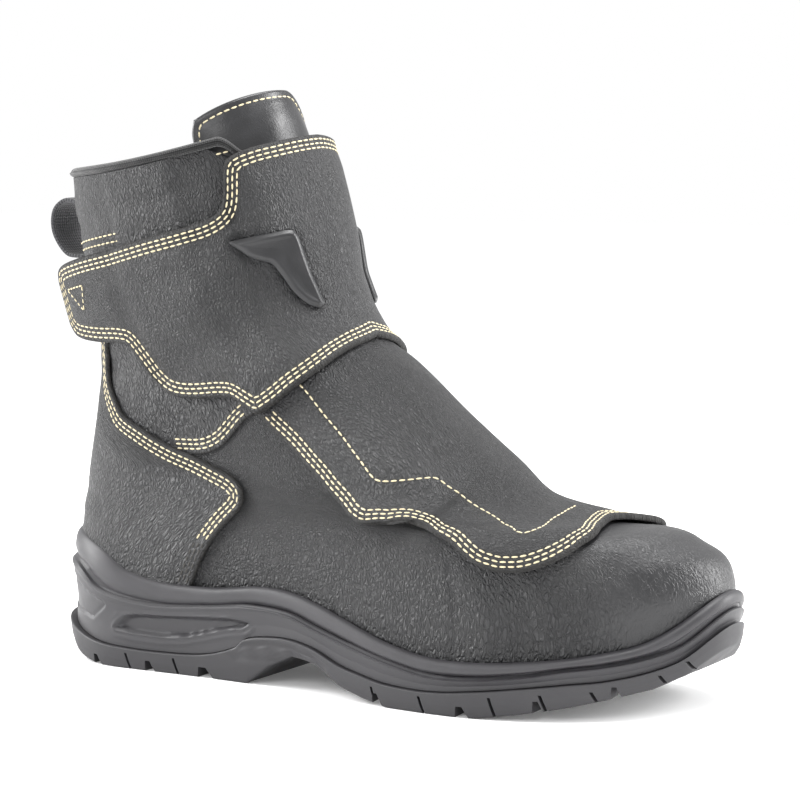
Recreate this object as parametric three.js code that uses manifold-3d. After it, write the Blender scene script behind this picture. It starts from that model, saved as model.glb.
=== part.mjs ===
// High leather foundry boot, right foot: a hollow upper on a two-part lugged sole, closed by a
// wrap-round ankle cuff and a metatarsal guard. Millimetres, +X to the toe, +Z up, medial side +Y.
// The origin is on the floor under the middle of the heel.
import * as THREE from "three";
import { mergeVertices } from "three/addons/utils/BufferGeometryUtils.js";
import Module from "manifold-3d";

const wasm = await Module();
wasm.setup();

// Driving sizes
const bootLength = 305;
const heelBehind = 42;
const ballWidth = 112;
const soleHeight = 40;
const collarHeight = 226;
const tongueRise = 20;
const upperWall = 2.2;
const panelDepth = 1;
const counterWall = 1.8;
const guardWall = 3.4;
const guardTopWall = 2.2;
const cuffWall = 2.8;
const tabReach = 10;
const tongueWall = 3;
const insoleWall = 4;
const bindingWidth = 6;
const bindingHeight = 5;
const loopWidth = 20;
const loopWall = 1.6;
const loopReach = 15;
const padWall = 2;
const treadDepth = 4.5;
const ledgeDepth = 2.2;
const grooveWidth = 4;
const windowDepth = 1.6;
const beadProud = 3.4;
const throatWidth = 38;
const toeStandoff = 0.6;
const seamGap = 0.35;
const facetSlack = 0.35;
const flapGap = 1.25;

// Sole outline from above: share of the length, then half-widths as shares of half the ball width
const plan = table(["share", "lateral", "medial"], [
  [0.0, 0.735, 0.715],
  [0.15, 0.75, 0.72],
  [0.28, 0.755, 0.66],
  [0.4, 0.8, 0.61],
  [0.5, 0.89, 0.67],
  [0.6, 0.985, 0.79],
  [0.7, 1.03, 0.89],
  [0.8, 1.0, 0.93],
  [0.9, 0.91, 0.9],
  [1.0, 0.78, 0.8],
]);

// Centre line of the last, a share of half the ball width towards the medial side
const centreLine = table(["share", "shift"], [
  [0, 0],
  [0.3, 0],
  [0.6, -0.018],
  [0.8, 0.018],
  [1, 0.107],
]);

// Sole from the side: share of the length, then heights as shares of the sole height
const soleSide = table(["share", "floor", "ledge", "rib", "rand"], [
  [0.0, 0.225, 0.475, 1.087, 1.4],
  [0.026, 0.138, 0.412, 1.075, 1.385],
  [0.059, 0.055, 0.33, 1.005, 1.335],
  [0.098, 0, 0.258, 0.835, 1.235],
  [0.138, 0, 0.227, 0.755, 1.065],
  [0.203, 0, 0.215, 0.715, 0.965],
  [0.282, 0, 0.247, 0.755, 0.96],
  [0.334, 0, 0.355, 0.795, 0.995],
  [0.354, 0, 0.463, 0.805, 1.015],
  [0.393, 0.212, 0.515, 0.8, 1.022],
  [0.433, 0.35, 0.522, 0.77, 0.993],
  [0.475, 0.312, 0.467, 0.68, 0.92],
  [0.518, 0.13, 0.348, 0.597, 0.823],
  [0.557, 0.055, 0.285, 0.525, 0.73],
  [0.597, 0, 0.235, 0.458, 0.645],
  [0.662, 0, 0.22, 0.378, 0.555],
  [0.728, 0, 0.265, 0.385, 0.545],
  [0.793, 0.077, 0.325, 0.44, 0.578],
  [0.839, 0.14, 0.367, 0.503, 0.613],
  [0.885, 0.223, 0.405, 0.55, 0.67],
  [0.931, 0.315, 0.49, 0.63, 0.762],
  [0.964, 0.445, 0.613, 0.75, 0.925],
  [1.0, 0.7, 0.9, 1.05, 1.2],
]);

// Level loops of the upper, from the feather line (0) to the collar (1). Back and front are shares of
// the boot length and the collar height, the next four are shares of the plan half-width at the heel,
// waist, ball and toe stations, and the rounds are shares of the ball width.
const levels = table(
  ["level", "backX", "backZ", "frontX", "frontZ", "heel", "waist", "ball", "toe", "backRound",
    "backPower", "lateralRound", "medialRound", "frontPower"],
  [
    [0.0, -0.115, 0.133, 0.843, 0.15, 0.88, 0.86, 0.91, 0.9, 0.357, 2.2, 0.821, 0.589, 2.2],
    [0.06, -0.116, 0.181, 0.849, 0.188, 0.89, 0.9, 0.94, 0.92, 0.366, 2.2, 0.804, 0.571, 2.2],
    [0.12, -0.116, 0.226, 0.849, 0.22, 0.89, 0.92, 0.95, 0.92, 0.375, 2.2, 0.768, 0.554, 2.25],
    [0.18, -0.111, 0.261, 0.835, 0.265, 0.88, 0.92, 0.94, 0.9, 0.375, 2.2, 0.732, 0.536, 2.25],
    [0.24, -0.108, 0.292, 0.808, 0.299, 0.87, 0.92, 0.92, 0.88, 0.375, 2.2, 0.696, 0.536, 2.2],
    [0.3, -0.105, 0.323, 0.764, 0.321, 0.86, 0.92, 0.9, 0.86, 0.375, 2.2, 0.679, 0.536, 2.15],
    [0.36, -0.102, 0.358, 0.682, 0.328, 0.85, 0.92, 0.88, 0.84, 0.384, 2.2, 0.679, 0.554, 2.1],
    [0.42, -0.098, 0.398, 0.593, 0.35, 0.84, 0.92, 0.86, 0.84, 0.393, 2.2, 0.679, 0.571, 2.1],
    [0.48, -0.093, 0.442, 0.534, 0.412, 0.83, 0.92, 0.85, 0.84, 0.402, 2.2, 0.679, 0.589, 2.1],
    [0.54, -0.089, 0.491, 0.468, 0.487, 0.83, 0.93, 0.85, 0.84, 0.42, 2.15, 0.679, 0.607, 2.1],
    [0.61, -0.085, 0.549, 0.418, 0.562, 0.84, 0.95, 0.85, 0.84, 0.438, 2.15, 0.643, 0.607, 2.1],
    [0.68, -0.09, 0.615, 0.349, 0.633, 0.87, 0.98, 0.86, 0.84, 0.455, 2.1, 0.607, 0.589, 2.1],
    [0.76, -0.105, 0.69, 0.297, 0.726, 0.92, 1.02, 0.88, 0.84, 0.473, 2.1, 0.571, 0.562, 2.1],
    [0.84, -0.12, 0.765, 0.277, 0.819, 0.97, 1.06, 0.9, 0.84, 0.482, 2.1, 0.545, 0.545, 2.1],
    [0.92, -0.13, 0.841, 0.257, 0.912, 1.02, 1.09, 0.92, 0.84, 0.491, 2.1, 0.518, 0.518, 2.1],
    [1.0, -0.134, 0.907, 0.236, 1.0, 1.06, 1.12, 0.92, 0.84, 0.5, 2.1, 0.509, 0.509, 2.1],
  ],
);
const stations = [0, 0.256, 0.492, 0.705];
const stationNames = ["heel", "waist", "ball", "toe"];

// How far the low levels sag between heel and toe, as shares of the sole height
const sag = table(["share", "drop"], [
  [0, 0],
  [0.138, -0.088],
  [0.269, -0.1],
  [0.354, -0.083],
  [0.433, -0.118],
  [0.518, -0.288],
  [0.597, -0.41],
  [0.662, -0.453],
  [0.728, -0.448],
  [0.793, -0.405],
  [0.839, -0.373],
  [0.885, -0.313],
  [0.931, -0.218],
  [0.964, -0.073],
  [1, 0],
]);
const sagEnd = 0.26;
const collarDip = 0.022;

// Fall of the side walls' top edges below the ridge, over the ball and the instep
const crownDepth = 2;
const crownReach = 0.095;
const evenFrom = 0.35;
const evenTo = 0.7;

// Outlines seen from the side, as shares of the boot length from the heel end and the collar height
const counterEdge = [
  [0.256, 0.159],
  [0.282, 0.23],
  [0.304, 0.269],
  [0.329, 0.302],
  [0.349, 0.343],
  [0.344, 0.361],
  [0.33, 0.376],
  [0.304, 0.389],
  [0.267, 0.406],
  [0.226, 0.422],
  [0.195, 0.438],
  [0.169, 0.454],
  [0.136, 0.473],
  [0.12, 0.494],
  [0.095, 0.538],
  [0.092, 0.58],
  [0.098, 0.63],
];
const guardEdge = [
  [0.367, 0.522],
  [0.377, 0.496],
  [0.397, 0.473],
  [0.43, 0.442],
  [0.458, 0.412],
  [0.488, 0.379],
  [0.521, 0.347],
  [0.541, 0.327],
  [0.564, 0.314],
  [0.603, 0.323],
  [0.631, 0.33],
  [0.647, 0.325],
  [0.668, 0.316],
  [0.689, 0.303],
  [0.711, 0.283],
  [0.734, 0.261],
  [0.756, 0.249],
];
const padFront = [
  [0.33, 0.802],
  [0.351, 0.811],
  [0.371, 0.819],
  [0.391, 0.823],
  [0.4, 0.815],
  [0.411, 0.779],
  [0.424, 0.739],
  [0.44, 0.695],
  [0.443, 0.683],
];
const padBack = [
  [0.33, 0.798],
  [0.341, 0.786],
  [0.354, 0.778],
  [0.368, 0.77],
  [0.379, 0.759],
  [0.39, 0.735],
  [0.402, 0.713],
  [0.418, 0.691],
  [0.434, 0.681],
];

// Outlines on the upper, as the share round from the back seam (0) to the front ridge (1) and the level
const guardFront = table(["round", "level"], [
  [0.68, 0.18],
  [0.71, 0.187],
  [0.74, 0.195],
  [0.765, 0.207],
  [0.79, 0.237],
  [0.823, 0.267],
  [0.865, 0.297],
  [0.905, 0.317],
  [0.94, 0.329],
  [0.97, 0.334],
  [1, 0.337],
]);
const guardTopLevel = 0.7;
const cuffTop = table(["round", "level"], [
  [0.15, 0.8],
  [0.158, 0.818],
  [0.175, 0.83],
  [0.25, 0.839],
  [0.37, 0.851],
  [0.48, 0.865],
  [0.575, 0.874],
  [0.63, 0.883],
  [0.668, 0.898],
  [0.686, 0.917],
  [0.7, 0.94],
  [0.722, 0.965],
  [0.755, 0.981],
  [0.85, 0.981],
  [1, 0.987],
]);
const cuffBottom = table(["round", "level"], [
  [0.15, 0.72],
  [0.158, 0.704],
  [0.175, 0.694],
  [0.25, 0.687],
  [0.335, 0.683],
  [0.352, 0.675],
  [0.362, 0.645],
  [0.37, 0.61],
  [0.385, 0.587],
  [0.425, 0.578],
  [0.517, 0.583],
  [0.537, 0.567],
  [0.552, 0.555],
  [0.573, 0.563],
  [0.655, 0.603],
  [0.753, 0.637],
  [0.87, 0.667],
  [1, 0.679],
]);
const panelSeam = table(["round", "level"], [
  [0, 0.46],
  [0.39, 0.46],
  [0.525, 0.543],
  [0.62, 0.56],
  [1, 0.56],
]);

// Recesses of the midsole's wall seen from the side, as shares of the boot length and the foot bed's height
const sideWindow = [
  [0.139, 0.575],
  [0.143, 0.668],
  [0.157, 0.802],
  [0.177, 0.845],
  [0.239, 0.878],
  [0.354, 0.924],
  [0.38, 0.891],
  [0.374, 0.82],
  [0.341, 0.764],
  [0.295, 0.644],
  [0.262, 0.533],
  [0.22, 0.504],
  [0.174, 0.511],
];
const heelWindow = [
  [0.036, 0.92],
  [0.085, 0.92],
  [0.121, 0.9],
  [0.125, 0.83],
  [0.098, 0.65],
  [0.036, 0.687],
];

// Recess of the outsole's wall at the arch, as shares of the boot length and the sole height
const archWindow = [
  [0.325, 0.33],
  [0.341, 0.402],
  [0.393, 0.46],
  [0.436, 0.45],
  [0.475, 0.397],
  [0.495, 0.325],
  [0.495, 0.125],
  [0.449, 0.125],
  [0.426, 0.265],
  [0.407, 0.258],
  [0.37, 0.25],
  [0.341, 0.26],
];

// Tread grooves seen from below: paths as shares of the boot length and of the plan half-width, and how
// wide each is in groove widths. A side groove is cut on both sides; a loop runs on as its mirror image.
const sideGrooves = [
  { path: [[0.098, 0.34], [0.098, 1.2]], wide: 1 },
  { path: [[0.194, 0.36], [0.19, 1.2]], wide: 1.1 },
  { path: [[0.28, 0.34], [0.284, 1.2]], wide: 1.75 },
  { path: [[0.57, 0.4], [0.585, 1.2]], wide: 1 },
  { path: [[0.7, 0.42], [0.713, 1.2]], wide: 1.25 },
  { path: [[0.8, 0.42], [0.81, 1.2]], wide: 0.9 },
  { path: [[0.88, 0.36], [0.908, 1.2]], wide: 0.9 },
];
const loopGrooves = [
  { path: [[0.345, 0.36], [0.2, 0.4], [0.11, 0.36], [0.088, 0]], wide: 1.1 },
  { path: [[0.53, 0.4], [0.6, 0.46], [0.72, 0.47], [0.82, 0.45], [0.89, 0.4], [0.94, 0]], wide: 1.25 },
];
const crossGrooves = [0.19, 0.27, 0.62, 0.68, 0.74, 0.8, 0.86];
const crossWide = 0.9;
const crossReach = 0.45;
const crossSweep = 0.02;

// Columns round the boot: back seam, lateral side, front ridge, medial side
const sideColumns = 20;
const throatRound = 0.93;
const columns = ringColumns();

// Rows of a table as objects with named columns
function table(names, rows) {
  return rows.map((row) => Object.fromEntries(names.map((name, i) => [name, row[i]])));
}

// Smooth value of a column: cubic Hermite pieces with finite-difference slopes
function smooth(rows, key, at) {
  const from = Object.keys(rows[0])[0];
  const last = rows.length - 1;
  const place = THREE.MathUtils.clamp(at, rows[0][from], rows[last][from]);
  let i = 0;
  while (i < last - 1 && place >= rows[i + 1][from]) i++;
  const slope = (k) => {
    const before = rows[Math.max(k - 1, 0)];
    const after = rows[Math.min(k + 1, last)];
    return (after[key] - before[key]) / (after[from] - before[from]);
  };
  const step = rows[i + 1][from] - rows[i][from];
  const s = (place - rows[i][from]) / step;
  return (2 * s ** 3 - 3 * s ** 2 + 1) * rows[i][key] + (s ** 3 - 2 * s ** 2 + s) * step * slope(i)
    + (3 * s ** 2 - 2 * s ** 3) * rows[i + 1][key] + (s ** 3 - s ** 2) * step * slope(i + 1);
}

// Straight-line value of a column
function straight(rows, key, at) {
  const from = Object.keys(rows[0])[0];
  const place = THREE.MathUtils.clamp(at, rows[0][from], rows.at(-1)[from]);
  const i = Math.min(rows.findIndex((row, k) => k === rows.length - 1 || place <= rows[k + 1][from]), rows.length - 2);
  return THREE.MathUtils.mapLinear(place, rows[i][from], rows[i + 1][from], rows[i][key], rows[i + 1][key]);
}

function ramp(value, from, to) {
  return THREE.MathUtils.smoothstep(value, from, to);
}

// Quarter of a superellipse: 0 at the end, 1 from the radius on
function rounding(distance, radius, power) {
  const u = THREE.MathUtils.clamp(distance / radius, 0, 1);
  return (1 - (1 - u) ** power) ** (1 / power);
}

function lengthShare(x) {
  return (x + heelBehind) / bootLength;
}

function planHalf(x, side) {
  return (smooth(plan, side < 0 ? "lateral" : "medial", lengthShare(x)) * ballWidth) / 2;
}

function centreY(x) {
  return (smooth(centreLine, "shift", lengthShare(x)) * ballWidth) / 2;
}

// Share along the boot of a share round it, and back
function alongOf(round) {
  return (1 - Math.cos(Math.PI * round)) / 2;
}

function roundOf(along) {
  return Math.acos(1 - 2 * THREE.MathUtils.clamp(along, 0, 1)) / Math.PI;
}

// Sole height at a place along the boot, from the side table
function soleZ(key, x) {
  const look = key === "floor" ? straight : smooth;
  return look(soleSide, key, lengthShare(x)) * soleHeight;
}

// Point of the sole's wall: the plan outline grown sideways, at any height
const heelRound = 0.393;
const lateralToeRound = 0.893;
const medialToeRound = 0.643;
function soleX(round, grow) {
  return -heelBehind - grow + (bootLength + 2 * grow) * alongOf(round);
}

function soleY(x, side, grow) {
  const toeRound = (side < 0 ? lateralToeRound : medialToeRound) * ballWidth;
  const fromHeel = x + heelBehind + grow;
  const fromToe = bootLength - heelBehind + grow - x;
  const half = (planHalf(x, side) + grow) * rounding(fromHeel, heelRound * ballWidth, 2.3)
    * rounding(fromToe, toeRound, side < 0 ? 2.15 : 2.3);
  return centreY(x) + side * half;
}

// Share of the plan half-width at a place along the boot on one level
function stationShare(level, x) {
  const rows = stations.map((place, i) => ({ place, share: smooth(levels, stationNames[i], level) }));
  return smooth(rows, "share", x / bootLength);
}

function levelSpan(level) {
  return {
    backX: smooth(levels, "backX", level) * bootLength,
    frontX: smooth(levels, "frontX", level) * bootLength,
    backZ: smooth(levels, "backZ", level) * collarHeight,
    frontZ: smooth(levels, "frontZ", level) * collarHeight,
  };
}

function levelZ(level, along, x) {
  const { backZ, frontZ } = levelSpan(level);
  const fade = Math.max(1 - level / sagEnd, 0) ** 1.5;
  const dip = collarDip * collarHeight * Math.max((level - 0.6) / 0.4, 0) ** 2;
  const crown = crownDepth * ramp(level, 0.12, 0.3) * (1 - ramp(level, 0.4, 0.52)) * ramp(lengthShare(x), 0.45, 0.72);
  return backZ + (frontZ - backZ) * along + smooth(sag, "drop", lengthShare(x)) * soleHeight * fade
    - dip * Math.sin(Math.PI * along) - crown * (1 - Math.exp((along - 1) / crownReach));
}

// Point of the last's outer face, for a level, a share round and a side (-1 lateral, 1 medial)
function facePoint(level, round, side) {
  const along = alongOf(round);
  const { backX, frontX } = levelSpan(level);
  const x = backX + (frontX - backX) * along;
  const even = ramp(level, evenFrom, evenTo);
  const own = planHalf(x, side);
  const mean = (planHalf(x, -1) + planHalf(x, 1)) / 2;
  const frontRound = smooth(levels, side < 0 ? "lateralRound" : "medialRound", level) * ballWidth;
  const half = (own + (mean - own) * even) * stationShare(level, x)
    * rounding(x - backX, smooth(levels, "backRound", level) * ballWidth, smooth(levels, "backPower", level))
    * rounding(frontX - x, frontRound, smooth(levels, "frontPower", level));
  return new THREE.Vector3(x, centreY(x) * (1 - even) + side * half, levelZ(level, along, x));
}

// Outward direction of the outer face; on the back seam and the ridge it lies in the middle plane
function outward(level, round, side) {
  const small = 0.002;
  const at = THREE.MathUtils.clamp(round, 2 * small, 1 - 2 * small);
  const up = facePoint(Math.min(level + small, 1), at, side).sub(facePoint(Math.max(level - small, 0), at, side));
  const across = facePoint(level, at + small, side).sub(facePoint(level, at - small, side));
  const normal = across.cross(up).multiplyScalar(-side).normalize();
  const edge = THREE.MathUtils.clamp(Math.min(round, 1 - round) / 0.02, 0, 1);
  normal.y *= edge;
  return normal.normalize();
}

// Point at a distance outside the last's outer face; above the collar the shaft runs on straight
function skin(level, round, side, offset) {
  const held = Math.min(level, 1);
  const point = facePoint(held, round, side).addScaledVector(outward(held, round, side), offset);
  if (level > 1) {
    const run = facePoint(1, round, side).sub(facePoint(0.96, round, side)).divideScalar(0.04);
    point.addScaledVector(run, level - 1);
  }
  return point;
}

// Level and share round of a place seen from the side
function locate(x, z) {
  let low = 0;
  let high = 1;
  for (let i = 0; i < 30; i++) {
    const level = (low + high) / 2;
    const { backX, frontX } = levelSpan(level);
    const along = THREE.MathUtils.clamp((x - backX) / (frontX - backX), 0, 1);
    if (levelZ(level, along, x) < z) low = level;
    else high = level;
  }
  const { backX, frontX } = levelSpan(low);
  return { level: low, round: roundOf((x - backX) / (frontX - backX)) };
}

function locateShare([alongShare, heightShare]) {
  return locate(alongShare * bootLength - heelBehind, heightShare * collarHeight);
}

// Level at which the upper reaches a height in one column
function levelAt(z, round) {
  let low = 0;
  let high = 0.5;
  for (let i = 0; i < 30; i++) {
    const level = (low + high) / 2;
    if (facePoint(level, round, -1).z < z) low = level;
    else high = level;
  }
  return low;
}

function ringColumns() {
  const rounds = [];
  for (let i = 0; i <= sideColumns; i++) rounds.push((throatRound * i) / sideColumns);
  rounds.push((throatRound + 1) / 2, 1);
  const lateral = rounds.map((round) => ({ round, side: -1 }));
  const medial = rounds.slice(1, -1).reverse().map((round) => ({ round, side: 1 }));
  return [...lateral, ...medial];
}

// Mesh making
function geometryOf(points, triangles) {
  const positions = triangles.flat().flatMap((i) => points[i].toArray());
  const geometry = new THREE.BufferGeometry();
  geometry.setAttribute("position", new THREE.Float32BufferAttribute(positions, 3));
  const merged = mergeVertices(geometry, 1e-3);
  const index = Array.from(merged.index.array);
  const kept = [];
  for (let i = 0; i < index.length; i += 3) {
    const [a, b, c] = index.slice(i, i + 3);
    if (a !== b && b !== c && c !== a) kept.push(a, b, c);
  }
  if (signedVolume(merged.attributes.position, kept) < 0) kept.reverse();
  merged.setIndex(kept);
  return merged;
}

function signedVolume(position, index) {
  const corner = (i) => new THREE.Vector3().fromBufferAttribute(position, i);
  let volume = 0;
  for (let i = 0; i < index.length; i += 3) {
    volume += corner(index[i]).dot(corner(index[i + 1]).cross(corner(index[i + 2]))) / 6;
  }
  return volume;
}

function solidOf(geometry) {
  const vertProperties = new Float32Array(geometry.attributes.position.array);
  const triVerts = new Uint32Array(geometry.index.array);
  return new wasm.Manifold(new wasm.Mesh({ numProp: 3, vertProperties, triVerts }));
}

function geometryFrom(solid) {
  const mesh = solid.getMesh();
  const geometry = new THREE.BufferGeometry();
  geometry.setAttribute("position", new THREE.Float32BufferAttribute(mesh.vertProperties, 3));
  geometry.setIndex(Array.from(mesh.triVerts));
  return geometry;
}

// Wall between an outer and an inner grid of points; quads that are absent leave an opening
function shell(outer, inner, closed, present = () => true) {
  const rows = outer.length;
  const wide = outer[0].length;
  const quads = closed ? wide : wide - 1;
  const points = [...outer.flat(), ...inner.flat()];
  const triangles = [];
  const id = (layer, i, j) => layer * rows * wide + i * wide + (j % wide);
  const quad = (a, b, c, d) => triangles.push([a, b, c], [a, c, d]);
  const there = (i, j) => {
    const column = closed ? (j + quads) % quads : j;
    return i >= 0 && i < rows - 1 && column >= 0 && column < quads && present(i, column);
  };
  for (let i = 0; i < rows - 1; i++) {
    for (let j = 0; j < quads; j++) {
      if (!there(i, j)) continue;
      const corners = [[i, j], [i, j + 1], [i + 1, j + 1], [i + 1, j]];
      const beside = [there(i - 1, j), there(i, j + 1), there(i + 1, j), there(i, j - 1)];
      quad(...corners.map(([row, column]) => id(0, row, column)));
      quad(...corners.toReversed().map(([row, column]) => id(1, row, column)));
      corners.forEach((from, k) => {
        const to = corners[(k + 1) % 4];
        if (!beside[k]) quad(id(0, ...to), id(0, ...from), id(1, ...from), id(1, ...to));
      });
    }
  }
  return geometryOf(points, triangles);
}

// Solid of stacked closed rings on the shared columns, its ends closed from side to side
function stack(rings) {
  const wide = columns.length;
  const triangles = [];
  for (let i = 0; i < rings.length - 1; i++) {
    for (let j = 0; j < wide; j++) {
      const next = (j + 1) % wide;
      const [a, b, c, d] = [i * wide + j, i * wide + next, (i + 1) * wide + next, (i + 1) * wide + j];
      triangles.push([a, b, c], [a, c, d]);
    }
  }
  const lid = (ring, turned) => {
    const across = (j) => (wide - j) % wide;
    for (let j = 0; j < wide / 2; j++) {
      const corners = [j, across(j), across(j + 1), j + 1].map((k) => ring * wide + k);
      if (turned) corners.reverse();
      const [a, b, c, d] = corners;
      if (a !== b) triangles.push([a, b, c]);
      if (c !== d) triangles.push([a, c, d]);
    }
  };
  lid(0, false);
  lid(rings.length - 1, true);
  return geometryOf(rings.flat(), triangles);
}

// Solid swept through equal closed loops, its ends closed by fans
function sweep(loops) {
  const wide = loops[0].length;
  const triangles = [];
  for (let i = 0; i < loops.length - 1; i++) {
    for (let j = 0; j < wide; j++) {
      const next = (j + 1) % wide;
      const [a, b, c, d] = [i * wide + j, i * wide + next, (i + 1) * wide + next, (i + 1) * wide + j];
      triangles.push([a, b, c], [a, c, d]);
    }
  }
  const end = (loops.length - 1) * wide;
  for (let j = 1; j < wide - 1; j++) triangles.push([0, j + 1, j], [end, end + j, end + j + 1]);
  return geometryOf(loops.flat(), triangles);
}

// Grid of points on the upper: rows and columns of places, at the offset that each place asks for
function grid(places, offset) {
  return places.map((row) => row.map((at) => skin(at.level, at.round, at.side, offset(at))));
}

// Upper: vamp and shaft in one hollow wall, with the shaft panel's edge as a step
const vampShares = [0, 0.065, 0.13, 0.215, 0.3, 0.385, 0.47, 0.56, 0.65, 0.745, 0.845, 0.925, 1];
const shaftShares = [0.14, 0.26, 0.38, 0.5, 0.62, 0.74, 0.87, 1];
const panelLip = 0.0045;
function panelRise(round) {
  return panelDepth * ramp(round, 0.37, 0.41) * (1 - ramp(round, 0.56, 0.62));
}

function upperPlaces() {
  const fromSeam = (share) => (seam) => seam + panelLip + share * (1 - seam - panelLip);
  const rows = [
    ...vampShares.map((share) => ({ level: (seam) => share * seam, raised: false })),
    { level: (seam) => seam + panelLip, raised: true },
    ...shaftShares.map((share) => ({ level: fromSeam(share), raised: true })),
  ];
  return rows.map(({ level, raised }) => columns.map((column) => {
    const at = level(smooth(panelSeam, "level", column.round));
    return { ...column, level: at, round: throatPlace(column.round, at), raised };
  }));
}

// The columns draw back from the ridge as the throat widens towards the collar
const throatFrom = 0.62;
const throatShare = 0.2;
function throatPlace(round, level) {
  const opening = THREE.MathUtils.clamp((level - throatFrom) / (1 - throatFrom), 0, 1);
  const edge = throatRound - (throatWidth / ballWidth) * throatShare * opening;
  if (round <= throatRound) return (round / throatRound) * edge;
  return edge + ((round - throatRound) / (1 - throatRound)) * (1 - edge);
}

function makeUpper() {
  const places = upperPlaces();
  const outer = grid(places, (at) => (at.raised ? panelRise(at.round) : 0));
  const inner = grid(places, () => -upperWall);
  const throatRow = vampShares.length + 1;
  const inThroat = (j) => j >= sideColumns && j < columns.length - sideColumns;
  return shell(outer, inner, true, (i, j) => i < throatRow || !inThroat(j));
}

// Rings of the sole wall and of the upper's foot, on the shared columns
function wallRing(grow, height) {
  return columns.map(({ round, side }) => {
    const x = soleX(round, grow);
    return new THREE.Vector3(x, soleY(x, side, grow), height(x));
  });
}

function footRing(levelOf, offset) {
  return columns.map(({ round, side }) => skin(levelOf(round), round, side, offset(round)));
}

// Under the counter the sole's cup stands further out
const counterGap = seamGap + facetSlack;
const counterReach = 0.43;
function cupClearance(round) {
  return seamGap + (counterGap + counterWall + facetSlack) * (1 - ramp(round, 0.36, 0.42));
}

// Height of the foot bed over the floor at a place along the boot
function bedZ(x) {
  const { backX, frontX } = levelSpan(0);
  return levelZ(0, THREE.MathUtils.clamp((x - backX) / (frontX - backX), 0, 1), x);
}

// Cutter for a recess: its outline's heights are shares of the height at each place
function recess(outline, side, heightAt) {
  const places = outline.map(([along, height]) => {
    const x = along * bootLength - heelBehind;
    return { x, z: height * heightAt(x) };
  });
  if (THREE.ShapeUtils.isClockWise(places.map(({ x, z }) => new THREE.Vector2(x, z)))) places.reverse();
  const reach = ballWidth;
  const loop = (y) => places.map(({ x, z }) => new THREE.Vector3(x, y(x), z));
  const inside = loop((x) => soleY(x, side, -(ledgeDepth + windowDepth)));
  const outside = loop(() => side * reach);
  const contour = places.map(({ x, z }) => new THREE.Vector2(x, z));
  const faces = THREE.ShapeUtils.triangulateShape(contour, []);
  const count = places.length;
  const triangles = faces.flatMap(([a, b, c]) => [[a, b, c], [count + a, count + c, count + b]]);
  for (let i = 0; i < count; i++) {
    const next = (i + 1) % count;
    triangles.push([next, i, count + i], [next, count + i, count + next]);
  }
  return solidOf(geometryOf([...inside, ...outside], triangles));
}

// Cutter along a path of shares; a positive half is medial, and its top keeps the tread depth
const grooveFoot = 0.35;
const grooveMouth = 0.6;
function groove(path, wide) {
  const width = wide * grooveWidth;
  const at = (k) => {
    const [share, half] = path[THREE.MathUtils.clamp(k, 0, path.length - 1)];
    const x = share * bootLength - heelBehind;
    return new THREE.Vector2(x, centreY(x) + half * planHalf(x, Math.sign(half)));
  };
  const loops = path.map((_, i) => {
    const run = at(i + 1).sub(at(i - 1)).normalize();
    const centre = at(i);
    const floor = soleZ("floor", centre.x);
    const corner = (half, z) => new THREE.Vector3(centre.x - run.y * half, centre.y + run.x * half, z);
    return [
      corner(-width * grooveFoot, floor + treadDepth),
      corner(width * grooveFoot, floor + treadDepth),
      corner(width * grooveMouth, floor - treadDepth),
      corner(-width * grooveMouth, floor - treadDepth),
    ];
  });
  return solidOf(sweep(loops));
}

function treadCutters() {
  const mirror = (path) => path.map(([share, half]) => [share, -half]);
  const sides = sideGrooves.flatMap(({ path, wide }) => [groove(path, wide), groove(mirror(path), wide)]);
  const loops = loopGrooves.map(({ path, wide }) => groove([...path, ...mirror(path.slice(0, -1)).reverse()], wide));
  const crosses = crossGrooves.map((share) => {
    const path = [[share, -crossReach], [share + crossSweep, 0], [share, crossReach]];
    return groove(path, crossWide);
  });
  return [...sides, ...loops, ...crosses];
}

// Outsole wall: share of the way from the floor to the ledge, and the setback in ledge depths
const outsoleWall = table(["share", "setback"], [
  [1, 1],
  [0.95, 0.1],
  [0.45, 0.3],
  [0.06, 0.7],
  [0, 1.1],
]);
function makeOutsole() {
  const floorTo = (share) => (x) => {
    const floor = soleZ("floor", x);
    return floor + share * (soleZ("ledge", x) - floor);
  };
  let solid = solidOf(stack(outsoleWall.map(({ share, setback }) => wallRing(-setback * ledgeDepth, floorTo(share)))));
  for (const cutter of treadCutters()) solid = solid.subtract(cutter);
  for (const side of [-1, 1]) solid = solid.subtract(recess(archWindow, side, () => soleHeight));
  return geometryFrom(solid);
}

// Midsole: a cup with a stepped wall and a rounded rand that follows the upper's own face
// Wall: share of the way from the ledge to the rib, and the setback in ledge depths
const midsoleWall = table(["share", "setback"], [
  [0, 1],
  [0.4, 1],
  [0.9, 0.4],
  [1, 0.25],
]);
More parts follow.
